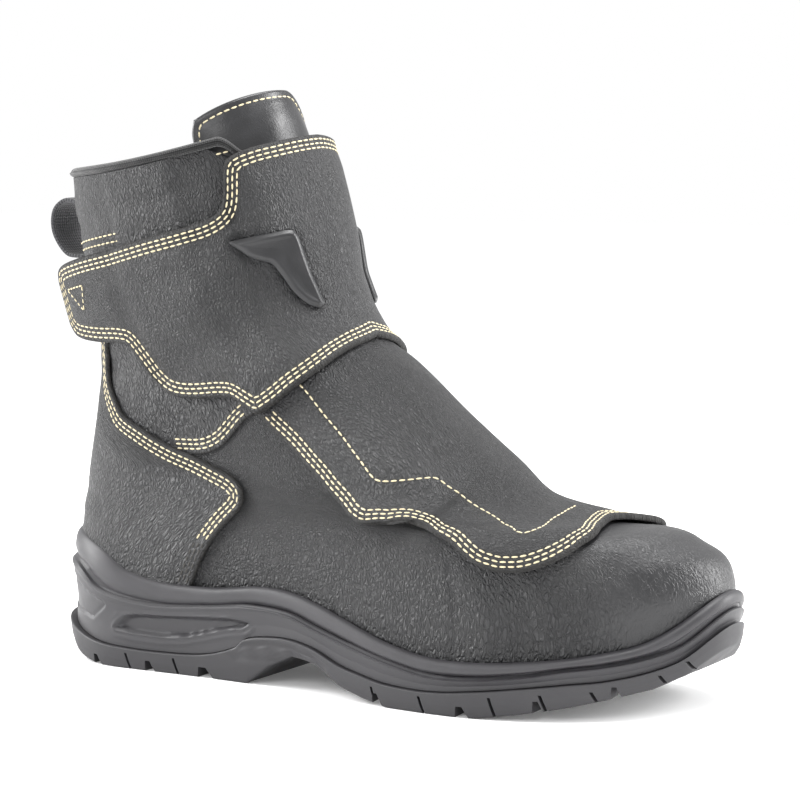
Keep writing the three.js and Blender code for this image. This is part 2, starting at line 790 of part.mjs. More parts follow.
// Rand: share of the way from the rib to the top, and the drop and swell as shares of the full roll
const randRoll = table(["share", "drop", "proud"], [
  [0.5, 0, 1],
  [1, 0.26, 0.8],
  [1, 0, 0.4],
]);
const randLip = 0.09;
const rollFoot = 0.3;
const heelDraw = 0.55;
function makeMidsole() {
  const randLevel = (round) => levelAt(soleZ("rand", soleX(round, 0)), round);
  const beadLevel = (share, drop) => (round) => {
    const x = soleX(round, 0);
    const rib = soleZ("rib", x);
    return levelAt(rib + share * (soleZ("rand", x) - rib) - drop * beadProud, round);
  };
  const bandTo = (share) => (x) => {
    const ledge = soleZ("ledge", x) + seamGap;
    return ledge + share * (soleZ("rib", x) - ledge);
  };
  const outerFace = (proud) => (round) => (
    cupClearance(round) + proud * beadProud - heelDraw * (cupClearance(round) - seamGap)
  );
  const bed = footRing(() => 0, cupClearance).map((point) => point.setZ(point.z - seamGap));
  let solid = solidOf(stack([
    ...midsoleWall.map(({ share, setback }) => wallRing(-setback * ledgeDepth, bandTo(share))),
    wallRing(-ledgeDepth, (x) => soleZ("rib", x) + rollFoot * beadProud),
    ...randRoll.map(({ share, drop, proud }) => footRing(beadLevel(share, drop), outerFace(proud))),
    footRing(beadLevel(1, randLip), cupClearance),
    footRing((round) => randLevel(round) * 0.6, cupClearance),
    footRing((round) => randLevel(round) * 0.25, cupClearance),
    bed,
  ]));
  for (const side of [-1, 1]) {
    solid = solid.subtract(recess(sideWindow, side, bedZ));
    solid = solid.subtract(recess(heelWindow, side, bedZ));
  }
  return geometryFrom(solid);
}

// Insole: a board inside the upper's foot, on the midsole's bed
function makeInsole() {
  const inset = -(upperWall + 2 * seamGap);
  const ring = (rise) => footRing(() => 0, () => inset).map((point, j) => {
    const { round, side } = columns[j];
    return point.setZ(facePoint(0, round, side).z - seamGap + rise);
  });
  return stack([ring(seamGap + insoleWall), ring(seamGap)]);
}

// Heel counter: a cup of leather round the back, on the upper's own columns up to its swept edge
function makeCounter() {
  const places = counterEdge.map((share) => {
    const edge = locateShare(share);
    const within = columns.filter(({ round, side }) => side < 0 && round < counterReach);
    const half = [...within.map(({ round }) => Math.min(round, edge.round)), edge.round];
    const lateral = half.map((round) => ({ level: edge.level, round, side: -1 })).reverse();
    const medial = half.slice(1).map((round) => ({ level: edge.level, round, side: 1 }));
    return [...lateral, ...medial];
  });
  return shell(grid(places, () => counterGap + counterWall), grid(places, () => counterGap), false);
}

// Metatarsal guard: a patch from under the cuff to the toe, free along its edge
function guardPlaces() {
  const edge = guardEdge.map(locateShare);
  const count = edge.length - 1;
  const front = guardFront.map(({ round }) => ({ round, level: smooth(guardFront, "level", round) }));
  const start = edge[count];
  const end = front.at(-1);
  const across = front.map(({ round }) => (round - start.round) / (end.round - start.round));
  return edge.map(({ level, round }, i) => {
    const down = i / count;
    const ridge = { level: guardTopLevel + (end.level - guardTopLevel) * down, round: 1 };
    const row = across.map((v, k) => {
      const line = start.level + (end.level - start.level) * v;
      const bulge = (front[k].level - line) * down ** 2;
      return { level: level + (ridge.level - level) * v + bulge, round: round + (1 - round) * v, down, v };
    });
    const lateral = row.map((at) => ({ ...at, side: -1 }));
    const medial = row.slice(0, -1).reverse().map((at) => ({ ...at, side: 1 }));
    return [...lateral, ...medial];
  });
}

const guardFree = { from: 0.15, to: 0.5 };
const guardThick = { from: 0.12, to: 0.35 };
function guardStandoff({ round, down, v }) {
  const freeSide = (1 - v) ** 3;
  const freeFront = down ** 3;
  return flapGap + panelRise(round) + toeStandoff * Math.max(freeSide * ramp(down, guardFree.from, guardFree.to), freeFront);
}

function guardThickness({ down }) {
  return guardTopWall + (guardWall - guardTopWall) * ramp(down, guardThick.from, guardThick.to);
}

function makeGuard() {
  const places = guardPlaces();
  const inner = grid(places, guardStandoff);
  const outer = grid(places, (at) => guardStandoff(at) + guardThickness(at));
  return shell(outer, inner, false);
}

// Ankle cuff: wraps from a free tab at the lateral back, over the shin, to the medial side
const cuffRounds = [0.15, 0.158, 0.175, 0.21, 0.25, 0.3, 0.335, 0.352, 0.362, 0.372, 0.387, 0.425, 0.475,
  0.517, 0.537, 0.553, 0.573, 0.615, 0.655, 0.686, 0.705, 0.73, 0.765, 0.82, 0.88, 0.94, 1];
const cuffMedialEnd = 0.42;
const cuffRows = 6;
function cuffPlaces() {
  const lateral = cuffRounds.map((round) => ({ round, side: -1 }));
  const medial = cuffRounds.filter((round) => round > cuffMedialEnd && round < 1).reverse();
  const across = [...lateral, ...medial.map((round) => ({ round, side: 1 }))];
  const rows = [];
  for (let i = 0; i <= cuffRows; i++) {
    const up = i / cuffRows;
    rows.push(across.map(({ round, side }) => {
      const low = smooth(cuffBottom, "level", round);
      const high = smooth(cuffTop, "level", round);
      return { round, side, level: low + (high - low) * up };
    }));
  }
  return rows;
}

// Distance of the cuff's inner face: over the panel's edge and the guard, and off the shaft at the tab
const tabRound = 0.4;
const cuffLift = { from: 0.48, to: 0.54, low: 0.12, high: 0.4 };
function cuffStandoff({ round, level }) {
  const low = smooth(cuffBottom, "level", round);
  const up = (level - low) / (smooth(cuffTop, "level", round) - low);
  const overGuard = (guardTopWall + 2.5 * facetSlack) * ramp(round, cuffLift.from, cuffLift.to)
    * (1 - ramp(up, cuffLift.low, cuffLift.high));
  const tab = tabReach * (Math.max(tabRound - round, 0) / (tabRound - cuffRounds[0])) ** 1.5;
  return flapGap + panelRise(round) + overGuard + tab;
}

function makeCuff() {
  const places = cuffPlaces();
  const inner = grid(places, cuffStandoff);
  const outer = grid(places, (at) => cuffStandoff(at) + cuffWall);
  return shell(outer, inner, false);
}

// Tongue: behind the throat, clear of the binding towards the top, with rounded top corners
const tongueEdge = table(["share", "round"], [
  [0, 0.8],
  [0.3, 0.74],
  [0.6, 0.68],
  [0.85, 0.655],
  [1, 0.68],
]);
const tongueSpread = [0, 0.12, 0.3, 0.5, 0.75, 1];
const tongueBottom = 0.54;
const tongueRows = 13;
const tongueCorner = 0.03;
const tongueLean = { from: 0.4, to: 0.75 };
function makeTongue() {
  const top = 1 + tongueRise / (skin(2, 1, -1, 0).z - skin(1, 1, -1, 0).z);
  const rows = [];
  for (let i = 0; i <= tongueRows; i++) {
    const up = i / tongueRows;
    const edge = smooth(tongueEdge, "round", up);
    const row = tongueSpread.map((v) => {
      const corner = tongueCorner * (1 - v) ** 4;
      return { level: tongueBottom + (top - corner - tongueBottom) * up, round: edge + (1 - edge) * v, up };
    });
    const lateral = row.map((at) => ({ ...at, side: -1 }));
    const medial = row.slice(0, -1).reverse().map((at) => ({ ...at, side: 1 }));
    rows.push([...lateral, ...medial]);
  }
  const clear = upperWall + 2.5 * facetSlack;
  const depth = ({ up }) => -(clear + (bindingWidth / 2) * ramp(up, tongueLean.from, tongueLean.to));
  return shell(grid(rows, depth), grid(rows, (at) => depth(at) - tongueWall), false);
}

// Collar binding: a rolled edge on the rim, from one side of the throat round the back to the other
function makeBinding() {
  const sides = 6;
  const upTo = Array.from({ length: sideColumns + 1 }, (_, i) => columns[i]);
  const medial = upTo.slice(1).map(({ round }) => ({ round, side: 1 }));
  const route = [...upTo.toReversed(), ...medial];
  const rise = seamGap + bindingHeight / 2;
  const loops = route.map(({ round, side }) => {
    const at = throatPlace(round, 1);
    const centre = skin(1, at, side, -upperWall / 2);
    const across = outward(1, at, side).setZ(0).normalize();
    return Array.from({ length: sides }, (_, k) => {
      const turn = (2 * Math.PI * (k + 0.5)) / sides;
      const point = centre.clone().addScaledVector(across, (bindingWidth / 2) * Math.cos(turn));
      return point.setZ(point.z + rise + (bindingHeight / 2) * Math.sin(turn));
    });
  });
  return sweep(loops);
}

// Pull loop: a webbing strap sewn to the back seam at both ends, standing out behind the shaft
const loopSewn = { tip: 0.985, top: 0.955, foot: 0.835, end: 0.8 };
const loopRun = table(["reach", "rise"], [
  [0.42, 1.02],
  [0.83, 0.87],
  [1, 0.62],
  [0.95, 0.35],
  [0.6, 0.07],
]);
const loopSteps = 24;
function makeLoop() {
  const lie = seamGap + facetSlack + loopWall / 2;
  const sewn = (level) => skin(level, 0, -1, lie);
  const top = sewn(loopSewn.top);
  const foot = sewn(loopSewn.foot);
  const standing = loopRun.map(({ reach, rise }) => {
    const point = foot.clone().lerp(top, rise);
    return point.setX(point.x - loopReach * reach);
  });
  const stops = [sewn(loopSewn.tip), top, ...standing, foot, sewn(loopSewn.end)];
  const centre = new THREE.CatmullRomCurve3(stops, false, "centripetal").getPoints(loopSteps);
  const half = loopWall / 2;
  const across = (i, sign) => {
    const run = centre[Math.min(i + 1, centre.length - 1)].clone().sub(centre[Math.max(i - 1, 0)]).normalize();
    return new THREE.Vector2(centre[i].x - run.z * half * sign, centre[i].z + run.x * half * sign);
  };
  const outline = [...centre.map((_, i) => across(i, 1)), ...centre.map((_, i) => across(i, -1)).reverse()];
  const strap = new THREE.ExtrudeGeometry(new THREE.Shape(outline), { depth: loopWidth, bevelEnabled: false });
  strap.rotateX(Math.PI / 2);
  strap.translate(0, loopWidth / 2, 0);
  return strap;
}

// Shin pads: raised wedges on the cuff, one each side
function makePad(side) {
  const under = (at) => cuffStandoff(at) + cuffWall + seamGap + 1.5 * facetSlack;
  const places = padFront.map((share, i) => {
    const front = locateShare(share);
    const back = locateShare(padBack[i]);
    return [0, 0.5, 1].map((v) => ({
      level: front.level + (back.level - front.level) * v,
      round: front.round + (back.round - front.round) * v,
      side,
    }));
  });
  return shell(grid(places, (at) => under(at) + padWall), grid(places, under), false);
}

function material(color, roughness) {
  return new THREE.MeshStandardMaterial({ color, roughness, metalness: 0 });
}

const boot = new THREE.Group();
function add(name, geometry, surface) {
  const mesh = new THREE.Mesh(geometry, surface);
  mesh.name = name;
  boot.add(mesh);
}

add("outsole", makeOutsole(), material(0x3c3c40, 0.75));
add("midsole", makeMidsole(), material(0x48474c, 0.7));
add("insole", makeInsole(), material(0x2e2c2a, 0.9));
add("upper", makeUpper(), material(0x46464b, 0.5));
add("heel_counter", makeCounter(), material(0x3f3f44, 0.5));
add("metatarsal_guard", makeGuard(), material(0x3d3d42, 0.5));
add("ankle_cuff", makeCuff(), material(0x424247, 0.5));
add("tongue", makeTongue(), material(0x3a3a3f, 0.45));
add("collar_binding", makeBinding(), material(0x17171a, 0.9));
add("pull_loop", makeLoop(), material(0x35353a, 0.85));
add("shin_pad_lateral", makePad(-1), material(0x333338, 0.4));
add("shin_pad_medial", makePad(1), material(0x333338, 0.4));

export default boot;
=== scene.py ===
"""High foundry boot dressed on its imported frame: leather, padding, stitching, creases and a moulded sole.

Lengths in the tables are shares or millimetres, and each mesh is written in metres.
"""

import math

import bpy
import numpy as np
from bpy.props import FloatProperty, FloatVectorProperty, IntProperty, PointerProperty
from mathutils import Matrix, Vector


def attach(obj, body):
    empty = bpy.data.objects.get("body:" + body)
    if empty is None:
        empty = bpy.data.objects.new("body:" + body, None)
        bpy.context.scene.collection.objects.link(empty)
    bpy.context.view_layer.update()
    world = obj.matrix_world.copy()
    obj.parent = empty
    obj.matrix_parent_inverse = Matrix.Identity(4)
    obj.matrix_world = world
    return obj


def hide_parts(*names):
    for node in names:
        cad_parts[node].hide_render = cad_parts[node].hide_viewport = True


bl_info = {
    "name": "Foundry boot",
    "version": (1, 0, 0),
    "blender": (4, 5, 0),
    "location": "View3D > Sidebar > Boot",
    "description": "Leather, stitching and sole of a high foundry boot",
    "category": "Object",
}

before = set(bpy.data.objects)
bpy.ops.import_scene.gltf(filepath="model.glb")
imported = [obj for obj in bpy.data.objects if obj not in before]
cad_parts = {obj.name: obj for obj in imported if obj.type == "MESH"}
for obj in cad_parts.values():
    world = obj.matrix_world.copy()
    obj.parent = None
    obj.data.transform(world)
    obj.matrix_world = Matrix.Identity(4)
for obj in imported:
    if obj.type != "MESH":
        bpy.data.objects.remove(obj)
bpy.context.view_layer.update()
MM = 0.001

# Named sizes of the boot, in millimetres
LENGTH = 305.0
HEEL_BEHIND = 42.0
BALL_WIDTH = 112.0
SOLE_HEIGHT = 40.0
COLLAR_HEIGHT = 226.0
WALL = 2.2
THROAT_ROUND = 0.93
THROAT_FROM = 0.62
THROAT_EASE = 38 / BALL_WIDTH * 0.2


def table(names, rows):
    """Columns of a table by name; the first column is the one it is read by."""
    names = names.split()
    made = {name: np.array([row[k] for row in rows], float) for k, name in enumerate(names)}
    made["by"] = made[names[0]]
    return made


# Sole outline from above: share of the length, then half-widths as shares of half the ball width
PLAN = table("share lateral medial", [
    (0.0, 0.735, 0.715), (0.15, 0.75, 0.72), (0.28, 0.755, 0.66), (0.4, 0.8, 0.61), (0.5, 0.89, 0.67),
    (0.6, 0.985, 0.79), (0.7, 1.03, 0.89), (0.8, 1.0, 0.93), (0.9, 0.91, 0.9), (1.0, 0.78, 0.8),
])
CENTRE = table("share shift", [(0, 0), (0.3, 0), (0.6, -0.018), (0.8, 0.018), (1, 0.107)])

# Sole from the side: share of the length, then heights as shares of the sole height
SOLE = table("share floor ledge rib rand", [
    (0.0, 0.225, 0.475, 1.087, 1.4), (0.026, 0.138, 0.412, 1.075, 1.385), (0.059, 0.055, 0.33, 1.005, 1.335),
    (0.098, 0, 0.258, 0.835, 1.235), (0.138, 0, 0.227, 0.755, 1.065), (0.203, 0, 0.215, 0.715, 0.965),
    (0.282, 0, 0.247, 0.755, 0.96), (0.334, 0, 0.355, 0.795, 0.995), (0.354, 0, 0.463, 0.805, 1.015),
    (0.393, 0.212, 0.515, 0.8, 1.022), (0.433, 0.35, 0.522, 0.77, 0.993), (0.475, 0.312, 0.467, 0.68, 0.92),
    (0.518, 0.13, 0.348, 0.597, 0.823), (0.557, 0.055, 0.285, 0.525, 0.73), (0.597, 0, 0.235, 0.458, 0.645),
    (0.662, 0, 0.22, 0.378, 0.555), (0.728, 0, 0.265, 0.385, 0.545), (0.793, 0.077, 0.325, 0.44, 0.578),
    (0.839, 0.14, 0.367, 0.503, 0.613), (0.885, 0.223, 0.405, 0.55, 0.67), (0.931, 0.315, 0.49, 0.63, 0.762),
    (0.964, 0.445, 0.613, 0.75, 0.925), (1.0, 0.7, 0.9, 1.05, 1.2),
])

# Level loops of the upper, from the feather line (0) to the collar (1)
LEVELS = table(
    "level backX backZ frontX frontZ heel waist ball toe backRound backPower "
    "lateralRound medialRound frontPower", [
        (0.0, -0.115, 0.133, 0.843, 0.15, 0.88, 0.86, 0.91, 0.9, 0.357, 2.2, 0.821, 0.589, 2.2),
        (0.06, -0.116, 0.181, 0.849, 0.188, 0.89, 0.9, 0.94, 0.92, 0.366, 2.2, 0.804, 0.571, 2.2),
        (0.12, -0.116, 0.226, 0.849, 0.22, 0.89, 0.92, 0.95, 0.92, 0.375, 2.2, 0.768, 0.554, 2.25),
        (0.18, -0.111, 0.261, 0.835, 0.265, 0.88, 0.92, 0.94, 0.9, 0.375, 2.2, 0.732, 0.536, 2.25),
        (0.24, -0.108, 0.292, 0.808, 0.293, 0.87, 0.92, 0.92, 0.88, 0.375, 2.2, 0.696, 0.536, 2.2),
        (0.3, -0.105, 0.323, 0.764, 0.312, 0.86, 0.92, 0.9, 0.86, 0.375, 2.2, 0.679, 0.536, 2.15),
        (0.36, -0.102, 0.358, 0.682, 0.317, 0.85, 0.92, 0.88, 0.84, 0.384, 2.2, 0.679, 0.554, 2.1),
        (0.42, -0.098, 0.398, 0.593, 0.345, 0.84, 0.92, 0.86, 0.84, 0.393, 2.2, 0.679, 0.571, 2.1),
        (0.48, -0.093, 0.442, 0.534, 0.408, 0.83, 0.92, 0.85, 0.84, 0.402, 2.2, 0.679, 0.589, 2.1),
        (0.54, -0.089, 0.491, 0.468, 0.487, 0.83, 0.93, 0.85, 0.84, 0.42, 2.15, 0.679, 0.607, 2.1),
        (0.61, -0.085, 0.549, 0.418, 0.562, 0.84, 0.95, 0.85, 0.84, 0.438, 2.15, 0.643, 0.607, 2.1),
        (0.68, -0.09, 0.615, 0.349, 0.633, 0.87, 0.98, 0.86, 0.84, 0.455, 2.1, 0.607, 0.589, 2.1),
        (0.76, -0.105, 0.69, 0.297, 0.726, 0.92, 1.02, 0.88, 0.84, 0.473, 2.1, 0.571, 0.562, 2.1),
        (0.84, -0.12, 0.765, 0.277, 0.819, 0.97, 1.06, 0.9, 0.84, 0.482, 2.1, 0.545, 0.545, 2.1),
        (0.92, -0.13, 0.841, 0.257, 0.912, 1.02, 1.09, 0.92, 0.84, 0.491, 2.1, 0.518, 0.518, 2.1),
        (1.0, -0.134, 0.907, 0.236, 1.0, 1.06, 1.12, 0.92, 0.84, 0.5, 2.1, 0.509, 0.509, 2.1),
    ])
STATIONS = np.array([0, 0.256, 0.492, 0.705])
SAG = table("share drop", [
    (0, 0), (0.138, -0.088), (0.269, -0.1), (0.354, -0.083), (0.433, -0.118), (0.518, -0.288), (0.597, -0.41),
    (0.662, -0.453), (0.728, -0.448), (0.793, -0.405), (0.839, -0.373), (0.885, -0.313), (0.931, -0.218),
    (0.964, -0.073), (1, 0),
])
SAG_END = 0.26
COLLAR_DIP = 0.022
# The leather's fall from the ridge to each side over ball and instep, and how far it is pressed back above
CROWN_LATERAL = 2.5
CROWN_MEDIAL = 9.5
CROWN_REACH = 0.095
PRESSED = table("level back", [
    (0.4, 0), (0.45, 0), (0.5, 2.7), (0.55, 5.3), (0.61, 8.8), (0.68, 9.8), (0.76, 1.5), (0.84, -0.5), (1, 0),
])
EVEN = (0.35, 0.7)

# Outlines seen from the side, as shares of the boot length from the heel end and the collar height
COUNTER_EDGE = [
    (0.256, 0.159), (0.282, 0.23), (0.304, 0.269), (0.329, 0.302), (0.349, 0.343), (0.344, 0.361),
    (0.33, 0.376), (0.304, 0.389), (0.267, 0.406), (0.226, 0.422), (0.195, 0.438), (0.169, 0.454),
    (0.136, 0.473), (0.12, 0.494), (0.095, 0.538), (0.092, 0.58), (0.098, 0.63),
]

# Outlines on the upper as level and share round: the guard's side and the shin pads' two long edges
GUARD_EDGE = [
    (0.573, 0.558), (0.546, 0.558), (0.525, 0.567), (0.499, 0.584), (0.472, 0.595), (0.44, 0.608),
    (0.399, 0.606), (0.351, 0.584), (0.31, 0.572), (0.338, 0.62), (0.36, 0.665), (0.342, 0.665),
    (0.311, 0.656), (0.281, 0.658), (0.236, 0.659), (0.205, 0.666), (0.188, 0.684),
]
PAD_FRONT = [
    (0.841, 0.68), (0.844, 0.728), (0.846, 0.778), (0.847, 0.822), (0.838, 0.838), (0.807, 0.847),
    (0.773, 0.857), (0.741, 0.866), (0.727, 0.872),
]
PAD_BACK = [
    (0.838, 0.68), (0.825, 0.699), (0.812, 0.719), (0.803, 0.746), (0.797, 0.764), (0.775, 0.781),
    (0.749, 0.797), (0.729, 0.823), (0.72, 0.852),
]

# Outlines on the upper, as the share round from the back seam (0) to the front ridge (1) and the level
GUARD_FRONT = table("round level", [
    (0.684, 0.188), (0.71, 0.19), (0.737, 0.206), (0.773, 0.237), (0.807, 0.269), (0.85, 0.301),
    (0.896, 0.327), (0.94, 0.342), (0.97, 0.349), (1, 0.353),
])
GUARD_TOP = 0.7
CUFF_TOP = table("round level", [
    (0.15, 0.8), (0.158, 0.818), (0.179, 0.83), (0.246, 0.839), (0.369, 0.851), (0.48, 0.865),
    (0.575, 0.874), (0.641, 0.882), (0.678, 0.896), (0.69, 0.914), (0.699, 0.938), (0.71, 0.966),
    (0.73, 0.98), (0.778, 0.987), (0.85, 0.989), (1, 0.993),
])
CUFF_BOTTOM = table("round level", [
    (0.15, 0.72), (0.158, 0.704), (0.175, 0.688), (0.236, 0.677), (0.322, 0.673), (0.336, 0.667),
    (0.348, 0.64), (0.36, 0.605), (0.387, 0.577), (0.429, 0.568), (0.522, 0.574), (0.546, 0.558),
    (0.562, 0.546), (0.583, 0.554), (0.659, 0.596), (0.769, 0.627), (0.88, 0.648), (1, 0.662),
])
PANEL_SEWN = (0.36, 0.53)
PANEL_SEAM = table("round level", [(0, 0.46), (0.39, 0.46), (0.525, 0.543), (0.62, 0.56), (1, 0.56)])
TONGUE_EDGE = table("share round", [
    (0, 0.8), (0.3, 0.74), (0.6, 0.68), (0.85, 0.645), (0.95, 0.645), (1, 0.66),
])
TONGUE_BOTTOM = 0.54
TONGUE_RISE = 20.0


def hermite(xs, ys, at):
    """Cubic pieces through the rows, with finite-difference slopes."""
    at = np.clip(at, xs[0], xs[-1])
    slope = np.empty_like(ys)
    slope[0] = (ys[1] - ys[0]) / (xs[1] - xs[0])
    slope[-1] = (ys[-1] - ys[-2]) / (xs[-1] - xs[-2])
    gap = (xs[2:] - xs[:-2]).reshape((-1,) + (1,) * (ys.ndim - 1))
    slope[1:-1] = (ys[2:] - ys[:-2]) / gap
    i = np.clip(np.searchsorted(xs, at, side="right") - 1, 0, len(xs) - 2)
    step = xs[i + 1] - xs[i]
    s = (at - xs[i]) / step

    def pick(values, k):
        return values[k] if values.ndim == 1 else np.take_along_axis(values, k[None], 0)[0]

    return ((2 * s**3 - 3 * s**2 + 1) * pick(ys, i) + (s**3 - 2 * s**2 + s) * step * pick(slope, i)
            + (3 * s**2 - 2 * s**3) * pick(ys, i + 1) + (s**3 - s**2) * step * pick(slope, i + 1))


def smooth(rows, key, at):
    return hermite(rows["by"], rows[key], np.asarray(at, float))


def ramp(value, low, high):
    """Smooth step from 0 at low to 1 at high."""
    s = np.clip((np.asarray(value, float) - low) / (high - low), 0, 1)
    return s * s * (3 - 2 * s)


def rounding(distance, radius, power):
    """Quarter of a superellipse: 0 at the end, 1 from the radius on."""
    u = np.clip(distance / radius, 0, 1)
    return np.maximum(1 - (1 - u) ** power, 0) ** (1 / power)


def length_share(x):
    return (x + HEEL_BEHIND) / LENGTH


def plan_half(x, side):
    share = length_share(x)
    return np.where(side < 0, smooth(PLAN, "lateral", share), smooth(PLAN, "medial", share)) * BALL_WIDTH / 2


def centre_y(x):
    return smooth(CENTRE, "shift", length_share(x)) * BALL_WIDTH / 2


def along_of(place):
    return (1 - np.cos(np.pi * place)) / 2


def round_of(along):
    return np.arccos(1 - 2 * np.clip(along, 0, 1)) / np.pi


def sole_z(key, x):
    if key == "floor":
        return np.interp(length_share(x), SOLE["by"], SOLE[key]) * SOLE_HEIGHT
    return smooth(SOLE, key, length_share(x)) * SOLE_HEIGHT


def sole_x(place, grow):
    return -HEEL_BEHIND - grow + (LENGTH + 2 * grow) * along_of(place)


def sole_y(x, side, grow):
    toe = np.where(side < 0, 0.893, 0.643) * BALL_WIDTH
    power = np.where(side < 0, 2.15, 2.3)
    half = ((plan_half(x, side) + grow) * rounding(x + HEEL_BEHIND + grow, 0.393 * BALL_WIDTH, 2.3)
            * rounding(LENGTH - HEEL_BEHIND + grow - x, toe, power))
    return centre_y(x) + side * half


def level_z(level, along, x, side=-1):
    back, front = (smooth(LEVELS, key, level) * COLLAR_HEIGHT for key in ("backZ", "frontZ"))
    fade = np.maximum(1 - level / SAG_END, 0) ** 1.5
    dip = COLLAR_DIP * COLLAR_HEIGHT * np.maximum((level - 0.6) / 0.4, 0) ** 2
    crown = (np.where(side < 0, CROWN_LATERAL, CROWN_MEDIAL) * ramp(level, 0.12, 0.3)
             * (1 - ramp(level, 0.4, 0.52)) * ramp(length_share(x), 0.45, 0.72))
    return (back + (front - back) * along + smooth(SAG, "drop", length_share(x)) * SOLE_HEIGHT * fade
            - dip * np.sin(np.pi * along) - crown * (1 - np.exp((along - 1) / CROWN_REACH)))


def face_point(level, place, side):
    """Point of the last's outer face, for a level, a share round and a side (-1 lateral, 1 medial)."""
    level, place, side = np.broadcast_arrays(np.asarray(level, float), np.asarray(place, float), side)
    along = along_of(place)
    back, front = (smooth(LEVELS, key, level) * LENGTH for key in ("backX", "frontX"))
    x = back + (front - back) * along
    even = ramp(level, *EVEN)
    own = plan_half(x, side)
    mean = (plan_half(x, -1) + plan_half(x, 1)) / 2
    shares = np.stack([smooth(LEVELS, key, level) for key in ("heel", "waist", "ball", "toe")])
    share = hermite(STATIONS, shares, x / LENGTH)
    front_round = np.where(side < 0, smooth(LEVELS, "lateralRound", level),
                           smooth(LEVELS, "medialRound", level))
    half = ((own + (mean - own) * even) * share
            * rounding(x - back, smooth(LEVELS, "backRound", level) * BALL_WIDTH,
                       smooth(LEVELS, "backPower", level))
            * rounding(front - x, front_round * BALL_WIDTH, smooth(LEVELS, "frontPower", level)))
    pressed = smooth(PRESSED, "back", level) * ramp(along, 0.7, 1)
    return np.stack([x - pressed, centre_y(x) * (1 - even) + side * half, level_z(level, along, x, side)], -1)


def outward(level, place, side):
    level, place, side = np.broadcast_arrays(np.asarray(level, float), np.asarray(place, float), side)
    small = 0.002
    at = np.clip(place, 2 * small, 1 - 2 * small)
    up = (face_point(np.minimum(level + small, 1), at, side)
          - face_point(np.maximum(level - small, 0), at, side))
    across = face_point(level, at + small, side) - face_point(level, at - small, side)
    normal = np.cross(across, up) * -side[..., None]
    normal /= np.linalg.norm(normal, axis=-1, keepdims=True)
    normal[..., 1] *= np.clip(np.minimum(place, 1 - place) / 0.02, 0, 1)
    return normal / np.linalg.norm(normal, axis=-1, keepdims=True)


def skin(level, place, side, offset=0.0):
    """Point at a distance outside the last's outer face; above the collar the shaft runs on straight."""
    level, place, side = np.broadcast_arrays(np.asarray(level, float), np.asarray(place, float), side)
    held = np.minimum(level, 1)
    offset = np.broadcast_to(np.asarray(offset, float), held.shape)
    point = face_point(held, place, side) + outward(held, place, side) * offset[..., None]
    run = (face_point(1.0, place, side) - face_point(0.96, place, side)) / 0.04
    return point + run * np.maximum(level - 1, 0)[..., None]


def locate(share):
    """Level and share round of a place seen from the side."""
    x, z = share[0] * LENGTH - HEEL_BEHIND, share[1] * COLLAR_HEIGHT
    low, high = 0.0, 1.0
    for _ in range(30):
        level = (low + high) / 2
        back, front = (float(smooth(LEVELS, key, level)) * LENGTH for key in ("backX", "frontX"))
        along = min(max((x - back) / (front - back), 0), 1)
        if float(level_z(level, along, x)) < z:
            low = level
        else:
            high = level
    back, front = (float(smooth(LEVELS, key, low)) * LENGTH for key in ("backX", "frontX"))
    return low, float(round_of((x - back) / (front - back)))


def panel_rise(place):
    return ramp(place, 0.37, 0.41) * (1 - ramp(place, 0.56, 0.62))


def throat_place(place, level):
    opening = np.clip((level - THROAT_FROM) / (1 - THROAT_FROM), 0, 1)
    edge = THROAT_ROUND - THROAT_EASE * opening
    return np.where(place <= THROAT_ROUND, place / THROAT_ROUND * edge,
                    edge + (place - THROAT_ROUND) / (1 - THROAT_ROUND) * (1 - edge))


def through(values, count, keys=None):
    """Smooth resampling of a list of rows at even steps of its own run."""
    values = np.asarray(values, float)
    run = np.concatenate([[0], np.cumsum(np.linalg.norm(np.diff(values, axis=0), axis=1))])
    if keys is None:
        keys = np.linspace(0, run[-1], count)
    return np.stack([hermite(run, values[:, k], keys) for k in range(values.shape[1])], -1)


def line_distance(points, line):
    """Distance of each point from a line of points."""
    flat = points.reshape(-1, 3)
    start, run = line[:-1], np.diff(line, axis=0)
    square = np.maximum((run**2).sum(1), 1e-12)
    found = np.empty(len(flat))
    for k in range(0, len(flat), 2000):
        gap = flat[k:k + 2000, None, :] - start
        share = np.clip((gap * run).sum(-1) / square, 0, 1)
        found[k:k + 2000] = np.sqrt(((gap - share[..., None] * run) ** 2).sum(-1).min(1))
    return found.reshape(points.shape[:-1])


def grid_normals(points):
    """Unit normals of a grid of points, by its rows and columns."""
    down = np.gradient(points, axis=0)
    across = np.gradient(points, axis=1)
    normal = np.cross(across, down)
    return normal / np.maximum(np.linalg.norm(normal, axis=-1, keepdims=True), 1e-9)


def spacing(lengths):
    """Running length of a row of points."""
    return np.concatenate([[0], np.cumsum(lengths)])


def flat_map(points):
    """Lengths across and down a grid of points, in metres, for its UV map."""
    middle_row, middle_column = points.shape[0] // 2, points.shape[1] // 2
    across = spacing(np.linalg.norm(np.diff(points[middle_row], axis=0), axis=-1))
    down = spacing(np.linalg.norm(np.diff(points[:, middle_column], axis=0), axis=-1))
    return np.stack(np.broadcast_arrays(across[None, :], down[:, None]), -1) * MM


def deselect():
    if bpy.context.object is not None and bpy.context.object.mode != "OBJECT":
        bpy.ops.object.mode_set(mode="OBJECT")
    bpy.ops.object.select_all(action="DESELECT")


def pick(piece):
    deselect()
    piece.select_set(True)
    bpy.context.view_layer.objects.active = piece


def apply(piece, kind, **settings):
    """Adds a modifier with its settings and applies it."""
    pick(piece)
    bpy.ops.object.modifier_add(type=kind)
    modifier = piece.modifiers[-1]
    for key, value in settings.items():
        setattr(modifier, key, value)
    bpy.ops.object.modifier_apply(modifier=modifier.name)
    return piece


